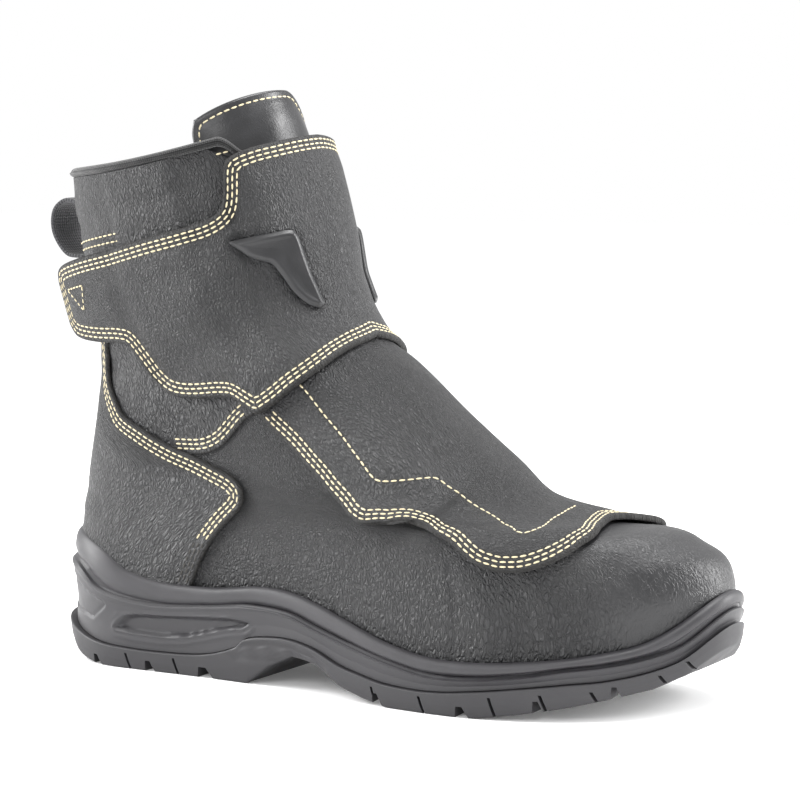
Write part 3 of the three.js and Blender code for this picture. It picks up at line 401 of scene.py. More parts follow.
def edit(piece, *steps):
    """Runs mesh operators on all of a piece in edit mode; each step is an operator and its settings."""
    pick(piece)
    bpy.ops.object.mode_set(mode="EDIT")
    bpy.ops.mesh.select_all(action="SELECT")
    for operator, settings in steps:
        operator(**settings)
    bpy.ops.object.mode_set(mode="OBJECT")
    return piece


def merge(piece, distance=2e-6):
    return edit(piece, (bpy.ops.mesh.remove_doubles, {"threshold": distance}))


def shade(piece, degrees=None):
    pick(piece)
    if degrees is None:
        bpy.ops.object.shade_smooth()
    else:
        bpy.ops.object.shade_smooth_by_angle(angle=math.radians(degrees))
    return piece


def grid_piece(name, points, out, flat=None, values=None):
    """Grid primitive laid on rows and columns of points in millimetres, facing the way of `out`."""
    rows, wide = points.shape[:2]
    flat = flat_map(points) if flat is None else flat
    values = values or {}
    if (grid_normals(points) * out).sum() < 0:
        points, flat = points[:, ::-1], flat[:, ::-1]
        values = {key: value[:, ::-1] for key, value in values.items()}
    deselect()
    bpy.ops.mesh.primitive_grid_add(x_subdivisions=wide - 1, y_subdivisions=rows - 1, size=1)
    piece = bpy.context.object
    piece.name = piece.data.name = name
    mesh = piece.data
    mesh.vertices.foreach_set("co", (points * MM).astype(np.float32).ravel())
    corner = np.empty(len(mesh.loops), np.int32)
    mesh.loops.foreach_get("vertex_index", corner)
    mesh.uv_layers[0].data.foreach_set("uv", flat.reshape(-1, 2)[corner].astype(np.float32).ravel())
    mesh.uv_layers[0].name = "flat"
    for key, value in values.items():
        layer = mesh.attributes.new(key, "FLOAT", "POINT")
        layer.data.foreach_set("value", np.ascontiguousarray(value, np.float32).ravel())
    mesh.update()
    return piece


def settle(piece, material, slot, *nodes):
    """Dresses a finished piece and seats it on the boot."""
    piece.data.materials.clear()
    piece.data.materials.append(material)
    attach(piece, "root")
    if nodes:
        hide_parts(*nodes)
    return piece


def edged(length, count):
    """Shares of a run with a few fine steps at both ends and even steps between."""
    ends = np.array([0, 0.35, 0.8, 1.5]) / length
    return np.concatenate([ends, np.linspace(ends[-1], 1 - ends[-1], count + 2)[1:-1], 1 - ends[::-1]])


class Patch:
    """Sheet of leather on the last: rows and columns of places, each with its height off the skin."""

    def __init__(self, level, place, side, lift, wall):
        level, place, side = np.broadcast_arrays(level, place, side)
        self.level, self.place, self.side = level, place, side
        self.normal = outward(np.minimum(level, 1), place, side)
        self.skin = skin(level, place, side)
        self.lift = np.broadcast_to(np.asarray(lift, float), level.shape)
        self.wall = np.broadcast_to(np.asarray(wall, float), level.shape).copy()
        self.middle = self.skin + self.normal * (self.lift + self.wall)[..., None]

    def edge(self, *lines):
        """Distance of each place from the nearest of some rows or columns of the patch."""
        return np.min([line_distance(self.middle, line[::2] if len(line) > 250 else line)
                       for line in lines], 0)

    def top(self):
        return self.middle[-1]

    def bottom(self):
        return self.middle[0]

    def first(self):
        return self.middle[:, 0]

    def last(self):
        return self.middle[:, -1]

    def raise_by(self, height):
        self.wall += height

    def points(self):
        return self.skin + self.normal * (self.lift + self.wall)[..., None]

    def piece(self, name, values=None, flat=None):
        return grid_piece(name, self.points(), self.normal, flat, values)

    def closed_wall(self, name, values=None, ring=False):
        """Closed shell of the patch: outer face, flat inner face and a rounded cut edge between them."""
        outer, inner = self.points(), self.skin + self.normal * self.lift[..., None]
        flat = flat_map(outer)
        values = values or {}
        axis = 0 if ring else 1
        points = around(outer, inner, axis, rim(outer, inner, axis, 0), rim(outer, inner, axis, -1))
        out = around(self.normal, -self.normal, axis)
        flat = around(flat, flat, axis)
        values = {key: around(value, value, axis) for key, value in values.items()}
        if not ring:
            low, high = (around(line, line, 1)
                         for line in (rim(outer, inner, 0, 0), rim(outer, inner, 0, -1)))
            points = np.concatenate([low, points, high])
            out, flat = (np.concatenate([rows[:1], rows, rows[-1:]]) for rows in (out, flat))
            values = {key: np.concatenate([rows[:1], rows, rows[-1:]]) for key, rows in values.items()}
        return shade(merge(grid_piece(name, points, out, flat, values)), 50)


def rim(outer, inner, axis, end):
    """Middle line of a cut edge, swollen a little beyond it."""
    edge, back = np.take(outer, [end], axis), np.take(inner, [end], axis)
    run = edge - np.take(outer, [1 if end == 0 else -2], axis)
    run /= np.maximum(np.linalg.norm(run, axis=-1, keepdims=True), 1e-9)
    return (edge + back) / 2 + run * 0.25 * np.linalg.norm(edge - back, axis=-1, keepdims=True)


def around(face, back, axis, low=None, high=None):
    """Lines of a face, then those of its back in reverse, so that both close into one tube."""
    first, last = (np.take(face, [k], axis) for k in (0, -1))
    low, high = first if low is None else low, last if high is None else high
    return np.concatenate([face, high, np.flip(back, axis), low, first], axis)


def worn_edge(distance, wall):
    """Cut edge of thick leather: rounded over within the first millimetre."""
    return -wall * 0.34 * np.exp(-((distance / 0.45) ** 1.5))


def stitched(distance, rows, depth=0.28):
    """Furrows pulled in by rows of stitching at the given distances from an edge."""
    return -depth * sum(np.exp(-(((distance - row) / 0.75) ** 2)) for row in rows)


def padding(distance, start, full, height):
    return height * ramp(distance, start, full)


def creased(patch, creases):
    """Soft troughs (negative) and ridges placed as listed: height, width, then places on the upper."""
    height = np.zeros(patch.level.shape)
    for side, size, width, places in creases:
        # A share round above 1 runs on over the ridge to the other side
        line = [skin(level, min(place, 2 - place), side if place <= 1 else -side) for place, level in places]
        line = through(np.array(line), 36)
        near = line_distance(patch.skin, line)
        height += size * np.exp(-((near / width) ** 2))
    patch.raise_by(height)


def bilinear(grid, rows, columns):
    low_row = np.clip(np.floor(rows).astype(int), 0, grid.shape[0] - 2)
    low_column = np.clip(np.floor(columns).astype(int), 0, grid.shape[1] - 2)
    a, b = (rows - low_row)[:, None], (columns - low_column)[:, None]
    return ((1 - a) * (1 - b) * grid[low_row, low_column] + (1 - a) * b * grid[low_row, low_column + 1]
            + a * (1 - b) * grid[low_row + 1, low_column] + a * b * grid[low_row + 1, low_column + 1])


def contours(field, value):
    """Lines of equal value over a grid, as lists of (row, column)."""
    above = field >= value
    crossing = {}

    def between(r0, c0, r1, c1):
        share = (value - field[r0, c0]) / (field[r1, c1] - field[r0, c0])
        return r0 + (r1 - r0) * share, c0 + (c1 - c0) * share

    mixed = (above[:-1, :-1].astype(int) + above[1:, :-1] + above[:-1, 1:] + above[1:, 1:]) % 4 != 0
    links = {}
    for r, c in zip(*np.nonzero(mixed)):
        keys = []
        sides_of_cell = (
            ((r, c, 0), (r, c, r, c + 1)), ((r + 1, c, 0), (r + 1, c, r + 1, c + 1)),
            ((r, c, 1), (r, c, r + 1, c)), ((r, c + 1, 1), (r, c + 1, r + 1, c + 1)))
        for key, (r0, c0, r1, c1) in sides_of_cell:
            if above[r0, c0] != above[r1, c1]:
                crossing.setdefault(key, between(r0, c0, r1, c1))
                keys.append(key)
        for a, b in zip(keys[::2], keys[1::2]):
            links.setdefault(a, []).append(b)
            links.setdefault(b, []).append(a)
    lines, left = [], set(links)
    while left:
        start = next((key for key in sorted(left) if len(links[key]) == 1), None)
        start = start if start is not None else min(left)
        line, key = [], start
        while key is not None:
            line.append(crossing[key])
            left.discard(key)
            key = next((other for other in links[key] if other in left), None)
        lines.append(np.array(line))
    return [line for line in lines if len(line) > 3]


STITCH_PITCH = 3.3
STITCH_LONG = 2.75
STITCH_WIDE = 0.8
STITCH_HIGH = 0.5


class Thread:
    """Stitches gathered from one piece, made at the end as one mesh of small capsules."""

    def __init__(self):
        self.places = []

    def along(self, centre, normal, shift=0.0, pitch=None, long=STITCH_LONG):
        pitch = pitch or round(sizes().stitch_pitch / MM, 3)
        run = spacing(np.linalg.norm(np.diff(centre, axis=0), axis=1))
        count = int((run[-1] - 0.5) // pitch)
        if count < 1:
            return
        middle = (np.arange(count) + 0.5 + shift) * (run[-1] / (count + shift))
        pairs = []
        for at in (middle - long / 2, middle, middle + long / 2):
            pairs.append(np.stack([np.interp(at, run, centre[:, k]) for k in range(3)], -1))
        turned = np.stack([np.interp(middle, run, normal[:, k]) for k in range(3)], -1)
        turned /= np.linalg.norm(turned, axis=1, keepdims=True)
        for a, b, c, n in zip(*pairs, turned):
            self.places.append((b * 0.5 + (a + c) * 0.25, c - a, n, long))

    def follow(self, patch, field, rows, keep=None):
        """Rows of stitches at equal distances from an edge of a patch."""
        points = patch.points()
        for k, row in enumerate(rows):
            for line in contours(field, row):
                centre = bilinear(points, line[:, 0], line[:, 1])
                normal = bilinear(patch.normal, line[:, 0], line[:, 1])
                if keep is not None:
                    grid = np.stack([patch.level, patch.place, patch.side], -1)
                    places = bilinear(grid, line[:, 0], line[:, 1])
                    held = keep(places[:, 0], places[:, 1], places[:, 2])
                    ends = np.flatnonzero(np.diff(np.concatenate([[False], held, [False]]).astype(int)))
                    spans = [(centre[a:b], normal[a:b]) for a, b in ends.reshape(-1, 2) if b - a > 3]
                else:
                    spans = [(centre, normal)]
                for span, face in spans:
                    self.along(span, face, shift=0.5 * (k % 2))

    def on(self, places, side, height, **settings):
        """One row of stitches through places (share round, level) on the last."""
        line = through(np.array(places, float), 160)
        centre = np.array([skin(level, place, side, height) for place, level in line])
        normal = np.array([outward(level, place, side) for place, level in line])
        self.along(centre, normal, **settings)

    def piece(self, name, material, slot):
        deselect()
        bpy.ops.mesh.primitive_uv_sphere_add(segments=8, ring_count=5, radius=0.5)
        one = bpy.context.object
        shape = np.array([vertex.co[:] for vertex in one.data.vertices])
        faces = [tuple(face.vertices) for face in one.data.polygons]
        bpy.data.objects.remove(one)
        # A stitch's long axis is the sphere's own, squared a little so that it reads as a capsule
        shape = np.stack([shape[:, 2], shape[:, 0], shape[:, 1]], -1)
        shape[:, 0] = np.sign(shape[:, 0]) * np.abs(2 * shape[:, 0]) ** 0.75 / 2
        points, all_faces = [], []
        for k, (centre, run, normal, long) in enumerate(self.places):
            run = run / np.linalg.norm(run)
            normal = normal - run * (normal @ run)
            normal /= np.linalg.norm(normal)
            across = np.cross(normal, run)
            sink = 0.16 * (2 * shape[:, 0]) ** 2
            points.append(centre + np.outer(shape[:, 0] * long, run)
                          + np.outer(shape[:, 1] * STITCH_WIDE, across)
                          + np.outer(shape[:, 2] * STITCH_HIGH + 0.06 - sink, normal))
            all_faces += [tuple(len(shape) * k + v for v in face) for face in faces]
        mesh = bpy.data.meshes.new(name)
        mesh.from_pydata((np.concatenate(points) * MM).tolist(), [], all_faces)
        piece = bpy.data.objects.new(name, mesh)
        bpy.context.collection.objects.link(piece)
        edit(piece, (bpy.ops.mesh.normals_make_consistent, {"inside": False}))
        shade(piece)
        return settle(piece, material, slot)


class Wire:
    """A socket of a material; arithmetic on it adds Math nodes."""

    def __init__(self, paint, socket):
        self.paint, self.socket = paint, socket

    def __add__(self, other):
        return self.paint.maths("ADD", self, other)

    def __radd__(self, other):
        return self.paint.maths("ADD", other, self)

    def __sub__(self, other):
        return self.paint.maths("SUBTRACT", self, other)

    def __rsub__(self, other):
        return self.paint.maths("SUBTRACT", other, self)

    def __mul__(self, other):
        return self.paint.maths("MULTIPLY", self, other)

    def __rmul__(self, other):
        return self.paint.maths("MULTIPLY", other, self)

    def __truediv__(self, other):
        return self.paint.maths("DIVIDE", self, other)

    def __pow__(self, other):
        return self.paint.maths("POWER", self, other)


class Paint:
    """Nodes of one material: any node by its type, settings and sockets, and sums written as Python."""

    def __init__(self, name):
        self.material = bpy.data.materials.new(name)
        self.material.use_nodes = True
        self.nodes = self.material.node_tree.nodes
        self.links = self.material.node_tree.links
        self.shader = self.nodes["Principled BSDF"]

    def connect(self, socket, value):
        if isinstance(value, Wire):
            self.links.new(value.socket, socket)
        else:
            socket.default_value = value

    def node(self, kind, settings=None, out=0, **sockets):
        """Adds a node; sockets are given by name with underscores for spaces, or as in0, in1 by number."""
        node = self.nodes.new("ShaderNode" + kind)
        for key, value in (settings or {}).items():
            if key == "stops":
                for stop, (place, shade) in zip(node.color_ramp.elements, value):
                    stop.position, stop.color = place, shade
            else:
                setattr(node, key, value)
        for key, value in sockets.items():
            number = key[2:] if key.startswith("in") and key[2:].isdigit() else None
            self.connect(node.inputs[int(number) if number else key.replace("_", " ")], value)
        return Wire(self, node.outputs[out])

    def maths(self, operation, a, b):
        return self.node("Math", {"operation": operation}, in0=a, in1=b)

    def between(self, value, low, high, to_low=0.0, to_high=1.0):
        """Soft step of a value from one range to another."""
        return self.node("MapRange", {"interpolation_type": "SMOOTHSTEP"}, Value=value, From_Min=low,
                         From_Max=high, To_Min=to_low, To_Max=to_high)

    def mix(self, factor, a, b):
        return self.node("Mix", {"data_type": "RGBA"}, 2, in0=factor, in6=a, in7=b)

    def flat(self, scale=(1000, 1000), turn=0.0):
        """The piece's own UV map in millimetres, turned by degrees, then scaled."""
        vector = self.node("UVMap", {"uv_map": "flat"})
        return self.node("Mapping", Vector=vector, Rotation=(0, 0, math.radians(turn)), Scale=(*scale, 1))

    def attribute(self, name):
        return self.node("Attribute", {"attribute_type": "GEOMETRY", "attribute_name": name}, 2)

    def noise(self, vector, scale, detail=3.0, rough=0.55):
        return self.node("TexNoise", Vector=vector, Scale=scale, Detail=detail, Roughness=rough)

    def cells(self, vector, scale, feature="DISTANCE_TO_EDGE", out=0):
        return self.node("TexVoronoi", {"feature": feature}, out, Vector=vector, Scale=scale)

    def bump(self, height, distance):
        """Relief of a height from 0 to 1, with its depth in millimetres."""
        self.links.new(self.node("Bump", Strength=1.0, Distance=distance * MM, Height=height).socket,
                       self.shader.inputs["Normal"])

    def finish(self, **sockets):
        for key, value in sockets.items():
            self.connect(self.shader.inputs[key.replace("_", " ")], value)
        return self.material


def grey(value, warm=0.0):
    return (value * (1 + warm), value, value * (1 - warm), 1)


def leather(name, colour, grain=1.5, stretch=1.5, turn=0.0, depth=1.0, rough=0.4):
    """Tumbled leather: stretched pebbles with furrows between them, glossier on their crowns, with a painted
    highlight on the crowns and painted shade in the furrows.
    """
    paint = Paint(name)
    wander = paint.noise(paint.flat(), 0.09, 2.0)
    bent = paint.node("Mapping", Vector=paint.node("UVMap", {"uv_map": "flat"}),
                      Rotation=(0, 0, math.radians(turn)), Scale=(1000 / grain, 1000 / grain / stretch, 1))
    warp = paint.node("TexNoise", {}, 1, Vector=bent, Scale=0.55, Detail=2.0)
    moved = paint.node("VectorMath", {"operation": "MULTIPLY_ADD"}, in0=warp, in1=(1.5, 1.5, 0), in2=bent)
    pebble = paint.between(paint.cells(moved, 1.0), 0.0, 0.3)
    fine = paint.between(paint.cells(moved, 2.3), 0.0, 0.3)
    coarse = paint.noise(moved, 0.3, 3.0)
    full = paint.attribute("grain")
    relief = (pebble * 0.5 + fine * 0.14 + coarse * 0.75) * full + (1 - full) * (coarse * 0.12 + 0.7)
    pores = paint.noise(paint.flat(), 2.4, 2.0)
    paint.bump(relief + pores * 0.03, depth)
    crown = paint.between(pebble * full + (1 - full), 0.1, 0.9)
    tone = paint.between(wander, 0.3, 0.7, 0.0, 1.0)
    raw = paint.attribute("raw")
    # Painted highlight and painted shade: base colour full on the pebble crowns, down to half in the furrows,
    # mixed with a random tone
    face = paint.mix(crown * 0.6 + tone * 0.4, tuple(0.5 * c for c in colour[:3]) + (1,), colour)
    face = paint.mix(raw, face, grey(0.013, 0.06))
    shine = rough + (1 - crown) * 0.16 + paint.between(wander, 0.25, 0.75, -0.05, 0.07) + raw * 0.3
    return paint.finish(Base_Color=face, Roughness=shine, Specular_IOR_Level=0.5)


def rubber(name, colour, rough=0.55):
    """Moulded polyurethane: matt skin with a faint satin mottle."""
    paint = Paint(name)
    place = paint.node("TexCoord", out=3)
    mottle = paint.noise(place, 90.0, 4.0)
    specks = paint.noise(place, 1400.0, 2.0)
    paint.bump(specks * 0.6 + mottle * 0.4, 0.05)
    face = paint.mix(paint.between(mottle, 0.3, 0.7), tuple(0.82 * c for c in colour[:3]) + (1,), colour)
    return paint.finish(Base_Color=face, Roughness=rough + paint.between(mottle, 0.3, 0.7, -0.06, 0.06))


def cloth(name, colour, pitch, depth, rough=0.9, sheen=0.25):
    """Woven or napped fabric by its own flat map: threads over and under at a pitch in millimetres."""
    paint = Paint(name)
    along = paint.node("TexWave", {"bands_direction": "X"}, Vector=paint.flat((1 / pitch * 1000,) * 2),
                       Scale=0.32, Distortion=1.2, Detail=1.0)
    across = paint.node("TexWave", {"bands_direction": "Y"}, Vector=paint.flat((1 / pitch * 1000,) * 2),
                        Scale=0.32, Distortion=1.2, Detail=1.0)
    fuzz = paint.noise(paint.flat(), 3.5, 3.0)
    weave = along * 0.4 + across * 0.4 + fuzz * 0.3
    paint.bump(weave, depth)
    face = paint.mix(paint.between(weave, 0.3, 0.9), tuple(0.45 * c for c in colour[:3]) + (1,), colour)
    return paint.finish(Base_Color=face, Roughness=rough, Sheen_Weight=sheen)


def thread_finish(name, colour):
    """Heat-resistant sewing thread with a faint twist."""
    paint = Paint(name)
    place = paint.node("TexCoord", out=3)
    twist = paint.noise(place, 2600.0, 2.0)
    paint.bump(twist, 0.06)
    face = paint.mix(paint.between(twist, 0.3, 0.7), tuple(0.72 * c for c in colour[:3]) + (1,), colour)
    return paint.finish(Base_Color=face, Roughness=0.75)


def srgb(text):
    """Linear colour of a hex shade."""
    values = [int(text[k:k + 2], 16) / 255 for k in (0, 2, 4)]
    return tuple(((v + 0.055) / 1.055) ** 2.4 if v > 0.04045 else v / 12.92 for v in values) + (1,)


_finishes = {}


def finish_of(key, make):
    if key not in _finishes:
        _finishes[key] = make()
    return _finishes[key]


def sizes():
    return bpy.context.scene.boot_sizes


def colours():
    return bpy.context.scene.boot_colours


def spread(first, last, count):
    return np.linspace(first, last, count)


def signed(columns):
    """Share round and side for columns that run from the lateral side (negative) to the medial side."""
    return np.abs(columns), np.where(columns < 0, -1, 1)


# Creases: side, height in millimetres, half-width in millimetres, places as (share round, level)
VAMP_CREASES = [
    (-1, -0.5, 0.9, [(0.628, 0.02), (0.63, 0.1), (0.634, 0.2)]),
    (-1, 0.55, 5, [(0.66, 0.05), (0.655, 0.15), (0.64, 0.27), (0.61, 0.36)]),
    (-1, -0.5, 5, [(0.7, 0.05), (0.69, 0.14), (0.675, 0.2)]),
    (-1, 0.5, 6, [(0.73, 0.04), (0.725, 0.12), (0.72, 0.17)]),
    (-1, -0.8, 6, [(0.77, 0.16), (0.8, 0.19), (0.86, 0.225), (0.93, 0.235), (1, 0.235), (1.07, 0.235),
                   (1.14, 0.225),
                   (1.2, 0.19), (1.23, 0.16)]),
    (-1, 0.45, 6, [(0.8, 0.1), (0.86, 0.13), (0.92, 0.15), (1, 0.16), (1.08, 0.15),
                   (1.14, 0.13), (1.2, 0.1)]),
    (-1, -0.5, 5, [(0.52, 0.1), (0.5, 0.22), (0.47, 0.34)]),
    (-1, 0.4, 6, [(0.57, 0.08), (0.55, 0.2), (0.53, 0.33), (0.5, 0.44)]),
    (1, 0.5, 6, [(0.56, 0.06), (0.55, 0.2), (0.53, 0.36)]),
    (1, -0.5, 5, [(0.61, 0.06), (0.6, 0.18), (0.57, 0.32)]),
    (1, 0.45, 6, [(0.68, 0.05), (0.67, 0.16)]),
]
SHAFT_CREASES = [
    (-1, -0.6, 5, [(0.2, 0.62), (0.32, 0.615), (0.42, 0.6), (0.5, 0.585)]),
    (-1, 0.45, 5, [(0.2, 0.67), (0.3, 0.665), (0.4, 0.655)]),
    (-1, -0.55, 4, [(0.05, 0.9), (0.15, 0.895), (0.3, 0.905)]),
    (-1, 0.4, 5, [(0.12, 0.94), (0.25, 0.945), (0.4, 0.955), (0.55, 0.96)]),
    (-1, -0.4, 4, [(0.35, 0.925), (0.47, 0.935), (0.6, 0.945)]),
    (1, -0.6, 5, [(0.1, 0.65), (0.25, 0.64), (0.4, 0.62), (0.52, 0.6)]),
    (1, 0.45, 6, [(0.12, 0.74), (0.28, 0.735), (0.4, 0.73)]),
    (1, -0.5, 5, [(0.1, 0.84), (0.25, 0.85), (0.38, 0.86)]),
    (1, 0.4, 6, [(0.1, 0.93), (0.3, 0.94), (0.5, 0.95)]),
]
CUFF_CREASES = [
    (-1, -0.5, 7, [(0.3, 0.71), (0.4, 0.755), (0.5, 0.79), (0.58, 0.81)]),
    (-1, 0.5, 8, [(0.36, 0.66), (0.45, 0.7), (0.54, 0.74), (0.6, 0.77)]),
    (-1, -0.45, 6, [(0.4, 0.615), (0.5, 0.65), (0.58, 0.69), (0.66, 0.73)]),
    (-1, 0.4, 8, [(0.7, 0.74), (0.76, 0.82), (0.8, 0.9)]),
    (-1, -0.5, 7, [(0.86, 0.72), (0.9, 0.8), (0.92, 0.9)]),
    (1, -0.5, 8, [(0.9, 0.72), (0.88, 0.82), (0.86, 0.92)]),
    (1, 0.5, 8, [(0.75, 0.7), (0.72, 0.8), (0.68, 0.88)]),
    (1, -0.45, 7, [(0.6, 0.66), (0.6, 0.76), (0.58, 0.84)]),
]
GUARD_CREASES = [
    (-1, -0.55, 9, [(0.8, 0.62), (0.82, 0.55), (0.86, 0.48), (0.9, 0.42)]),
    (-1, 0.5, 9, [(0.88, 0.62), (0.9, 0.54), (0.93, 0.47)]),
    (1, -0.55, 9, [(0.8, 0.62), (0.82, 0.55), (0.86, 0.48), (0.9, 0.42)]),
    (1, 0.5, 9, [(0.88, 0.62), (0.9, 0.54), (0.93, 0.47)]),
    (-1, -0.35, 6, [(0.72, 0.44), (0.76, 0.42), (0.8, 0.4)]),
]
COUNTER_CREASES = [
    (-1, -0.4, 4, [(0.1, 0.3), (0.18, 0.27), (0.26, 0.22)]),
    (-1, 0.35, 5, [(0.1, 0.24), (0.18, 0.2), (0.24, 0.15)]),
    (1, -0.4, 5, [(0.08, 0.32), (0.18, 0.28), (0.28, 0.26)]),
    (1, 0.35, 5, [(0.1, 0.22), (0.2, 0.18)]),
]

LINES = (2.1, 4.0, 5.9)


def guard_shape(down, across):
    """Level and share round of the guard.

    Rows run down from under the cuff to the toe, and columns from its edge to the ridge.
    """
    edge = np.array(GUARD_EDGE)
    rows = np.arange(len(edge), dtype=float)
    at = down * rows[-1]
    level, place = hermite(rows, edge[:, 0], at), hermite(rows, edge[:, 1], at)
    start = edge[-1]
    end = float(smooth(GUARD_FRONT, "level", 1.0))
    front = smooth(GUARD_FRONT, "level", start[1] + (1 - start[1]) * across)
    bulge = (front - (start[0] + (end - start[0]) * across)) * down**2
    ridge = GUARD_TOP + (end - GUARD_TOP) * down
    return level + (ridge - level) * across + bulge, place + (1 - place) * across


def cuff_span(place):
    return smooth(CUFF_BOTTOM, "level", place), smooth(CUFF_TOP, "level", place)


def cuff_lift(place, level):
    """How far the cuff's inner face stands off: over the panel's edge and the guard, and free at the tab."""
    low, high = cuff_span(place)
    up = (level - low) / (high - low)
    over = 2.5 * ramp(place, 0.5, 0.56) * (1 - ramp(up, 0.12, 0.4))
    tab = 10 * (np.maximum(0.4 - place, 0) / 0.25) ** 1.5
    return 1.25 + panel_rise(place) + over + tab


def no_marks(patch, grain=1.0):
    return {"grain": np.full(patch.level.shape, grain), "raw": np.zeros(patch.level.shape)}


def black_leather(key, **settings):
    colour = tuple(colours().leather) + (1,)
    return finish_of("leather_" + key, lambda: leather("leather_" + key, colour, **settings))


def pale_thread():
    return finish_of("thread", lambda: thread_finish("sewing_thread", tuple(colours().thread) + (1,)))


def dark_thread():
    return finish_of("dark_thread", lambda: thread_finish("dark_sewing_thread", srgb("3a3835")))


def make_vamp():
    round_about = spread(0, 2, 561)
    place = np.where(round_about <= 1, round_about, 2 - round_about)[None, :]
    side = np.where(round_about <= 1, -1, 1)[None, :]
    up = spread(0, 1, 70)[:, None]
    top = smooth(PANEL_SEAM, "level", place) - 0.002 + 0.012 * panel_rise(place)
    level = 0.012 + up * (top - 0.012)
    patch = Patch(level, place, side, -1.2, 1.2)
    creased(patch, VAMP_CREASES)
    toe = ramp(patch.place, 0.72, 0.84) * ramp(patch.skin[..., 0], 175, 215)
    marks = {"grain": 1 - 0.8 * toe, "raw": np.zeros(level.shape)}
    piece = patch.closed_wall("vamp", marks, ring=True)
    return settle(piece, black_leather("vamp", grain=1.35, stretch=1.7, turn=8.0, depth=1.1),
                  "upper", "upper")


def collar_level(place):
    """Level of the leather's top under the binding, which drops behind the cuff's front corners."""
    return 1.0075 - 0.042 * ramp(place, 0.7, 0.8)


def make_shaft():
    columns = spread(-1, 1, 421)
    share, side = signed(columns[None, :])
    base = throat_place(share * THROAT_ROUND, 0.75)
    seam = smooth(PANEL_SEAM, "level", base)
    up = edged(130, 84)[:, None]
    level = seam + up * (collar_level(base) - seam)
    place = throat_place(share * THROAT_ROUND, level)
    patch = Patch(level, place, side, -0.95 + panel_rise(place), 0.95)
    distance = patch.edge(patch.bottom())
    seen = panel_rise(patch.place)
    patch.raise_by((worn_edge(distance, 1.0) + stitched(distance, LINES)) * seen)
    creased(patch, SHAFT_CREASES)
    marks = no_marks(patch)
    marks["raw"] = np.exp(-((distance / 0.5) ** 2)) * seen
    marks["grain"] = 1 - 0.35 * ramp(patch.place, 0.6, 0.8)
    piece = patch.closed_wall("shaft", marks)
    thread = Thread()
    low, high = PANEL_SEWN
    for hand in (-1, 1):
        thread.follow(patch, distance, LINES,
                      lambda level, place, side: (side * hand > 0) & (place > low) & (place < high))
    for places in ([(0.165, 0.864), (0.22, 0.868), (0.3, 0.873), (0.4, 0.88), (0.47, 0.883)],
                   [(0.175, 0.851), (0.22, 0.854), (0.3, 0.859), (0.4, 0.866), (0.47, 0.87)]):
        thread.on(places, -1, 0.2)
    thread.piece("shaft_stitches", pale_thread(), "upper")
    return settle(piece, black_leather("shaft", grain=1.3, stretch=2.1, turn=84.0, depth=1.1),
                  "upper", "upper")


LINING_FOOT = 0.03
LINING_DROP = 0.015


def make_lining():
    columns = spread(-1, 1, 201)
    share, side = signed(columns[None, :])
    rim_level = collar_level(throat_place(share * THROAT_ROUND, 1)) - LINING_DROP
    level = LINING_FOOT + (rim_level - LINING_FOOT) * spread(0, 1, 80)[:, None]
    lower = 1 - (1 - throat_place(THROAT_ROUND, np.maximum(level, 0.62))) * ramp(level, 0.5, 0.56)
    place = share * lower
    patch = Patch(level, place, side, -2.1, 0.85)
    piece = merge(patch.piece("lining"))
    apply(piece, "SOLIDIFY", thickness=0.85 * MM, offset=-1)
    shade(piece, 50)
    material = finish_of("lining", lambda: cloth("lining_fabric", srgb("26262a"), 1.1, 0.25))
    return settle(piece, material, "upper", "upper")


def make_counter():
    edge = np.array([locate(share) for share in COUNTER_EDGE])
    rows = np.arange(len(edge), dtype=float)
    down = 1 - edged(150, 106)[:, None]
    down = np.clip(down * rows[-1], 0, rows[-1])[::-1]
    columns = edged(110, 150)
    columns = 2 * columns - 1
    share, side = signed(columns[None, :])
    place = share * hermite(rows, edge[:, 1], down)
    patch = Patch(np.broadcast_to(hermite(rows, edge[:, 0], down), place.shape), place, side, 0.3, 1.9)
    distance = patch.edge(patch.first(), patch.last(), patch.top())
    patch.raise_by(worn_edge(distance, 1.9) + stitched(distance, LINES) + padding(distance, 6.5, 16, 0.8))
    creased(patch, COUNTER_CREASES)
    marks = no_marks(patch)
    marks["raw"] = np.exp(-((distance / 0.7) ** 2))
    piece = patch.closed_wall("counter", marks)
    low = 0.175
    thread, dark = Thread(), Thread()
    thread.follow(patch, distance, LINES, lambda level, place, side: level > low)
    dark.follow(patch, distance, LINES, lambda level, place, side: (level <= low) & (level > 0.06))
    thread.piece("counter_stitches", pale_thread(), "heel_counter")
    dark.piece("counter_stitches_low", dark_thread(), "heel_counter")
    return settle(piece, black_leather("counter", grain=1.25, stretch=2.2, turn=-38.0, depth=1.0),
                  "heel_counter", "heel_counter")


GUARD_ROW = [
    (0.652, 0.618), (0.665, 0.596), (0.672, 0.582), (0.681, 0.555), (0.692, 0.516), (0.694, 0.493),
    (0.696, 0.475), (0.699, 0.459), (0.706, 0.454), (0.742, 0.457), (0.784, 0.461), (0.805, 0.461),
    (0.815, 0.449), (0.824, 0.436), (0.82, 0.401), (0.775, 0.342), (0.748, 0.305), (0.753, 0.298),
    (0.768, 0.305), (0.862, 0.359), (0.939, 0.38), (0.995, 0.387),
]


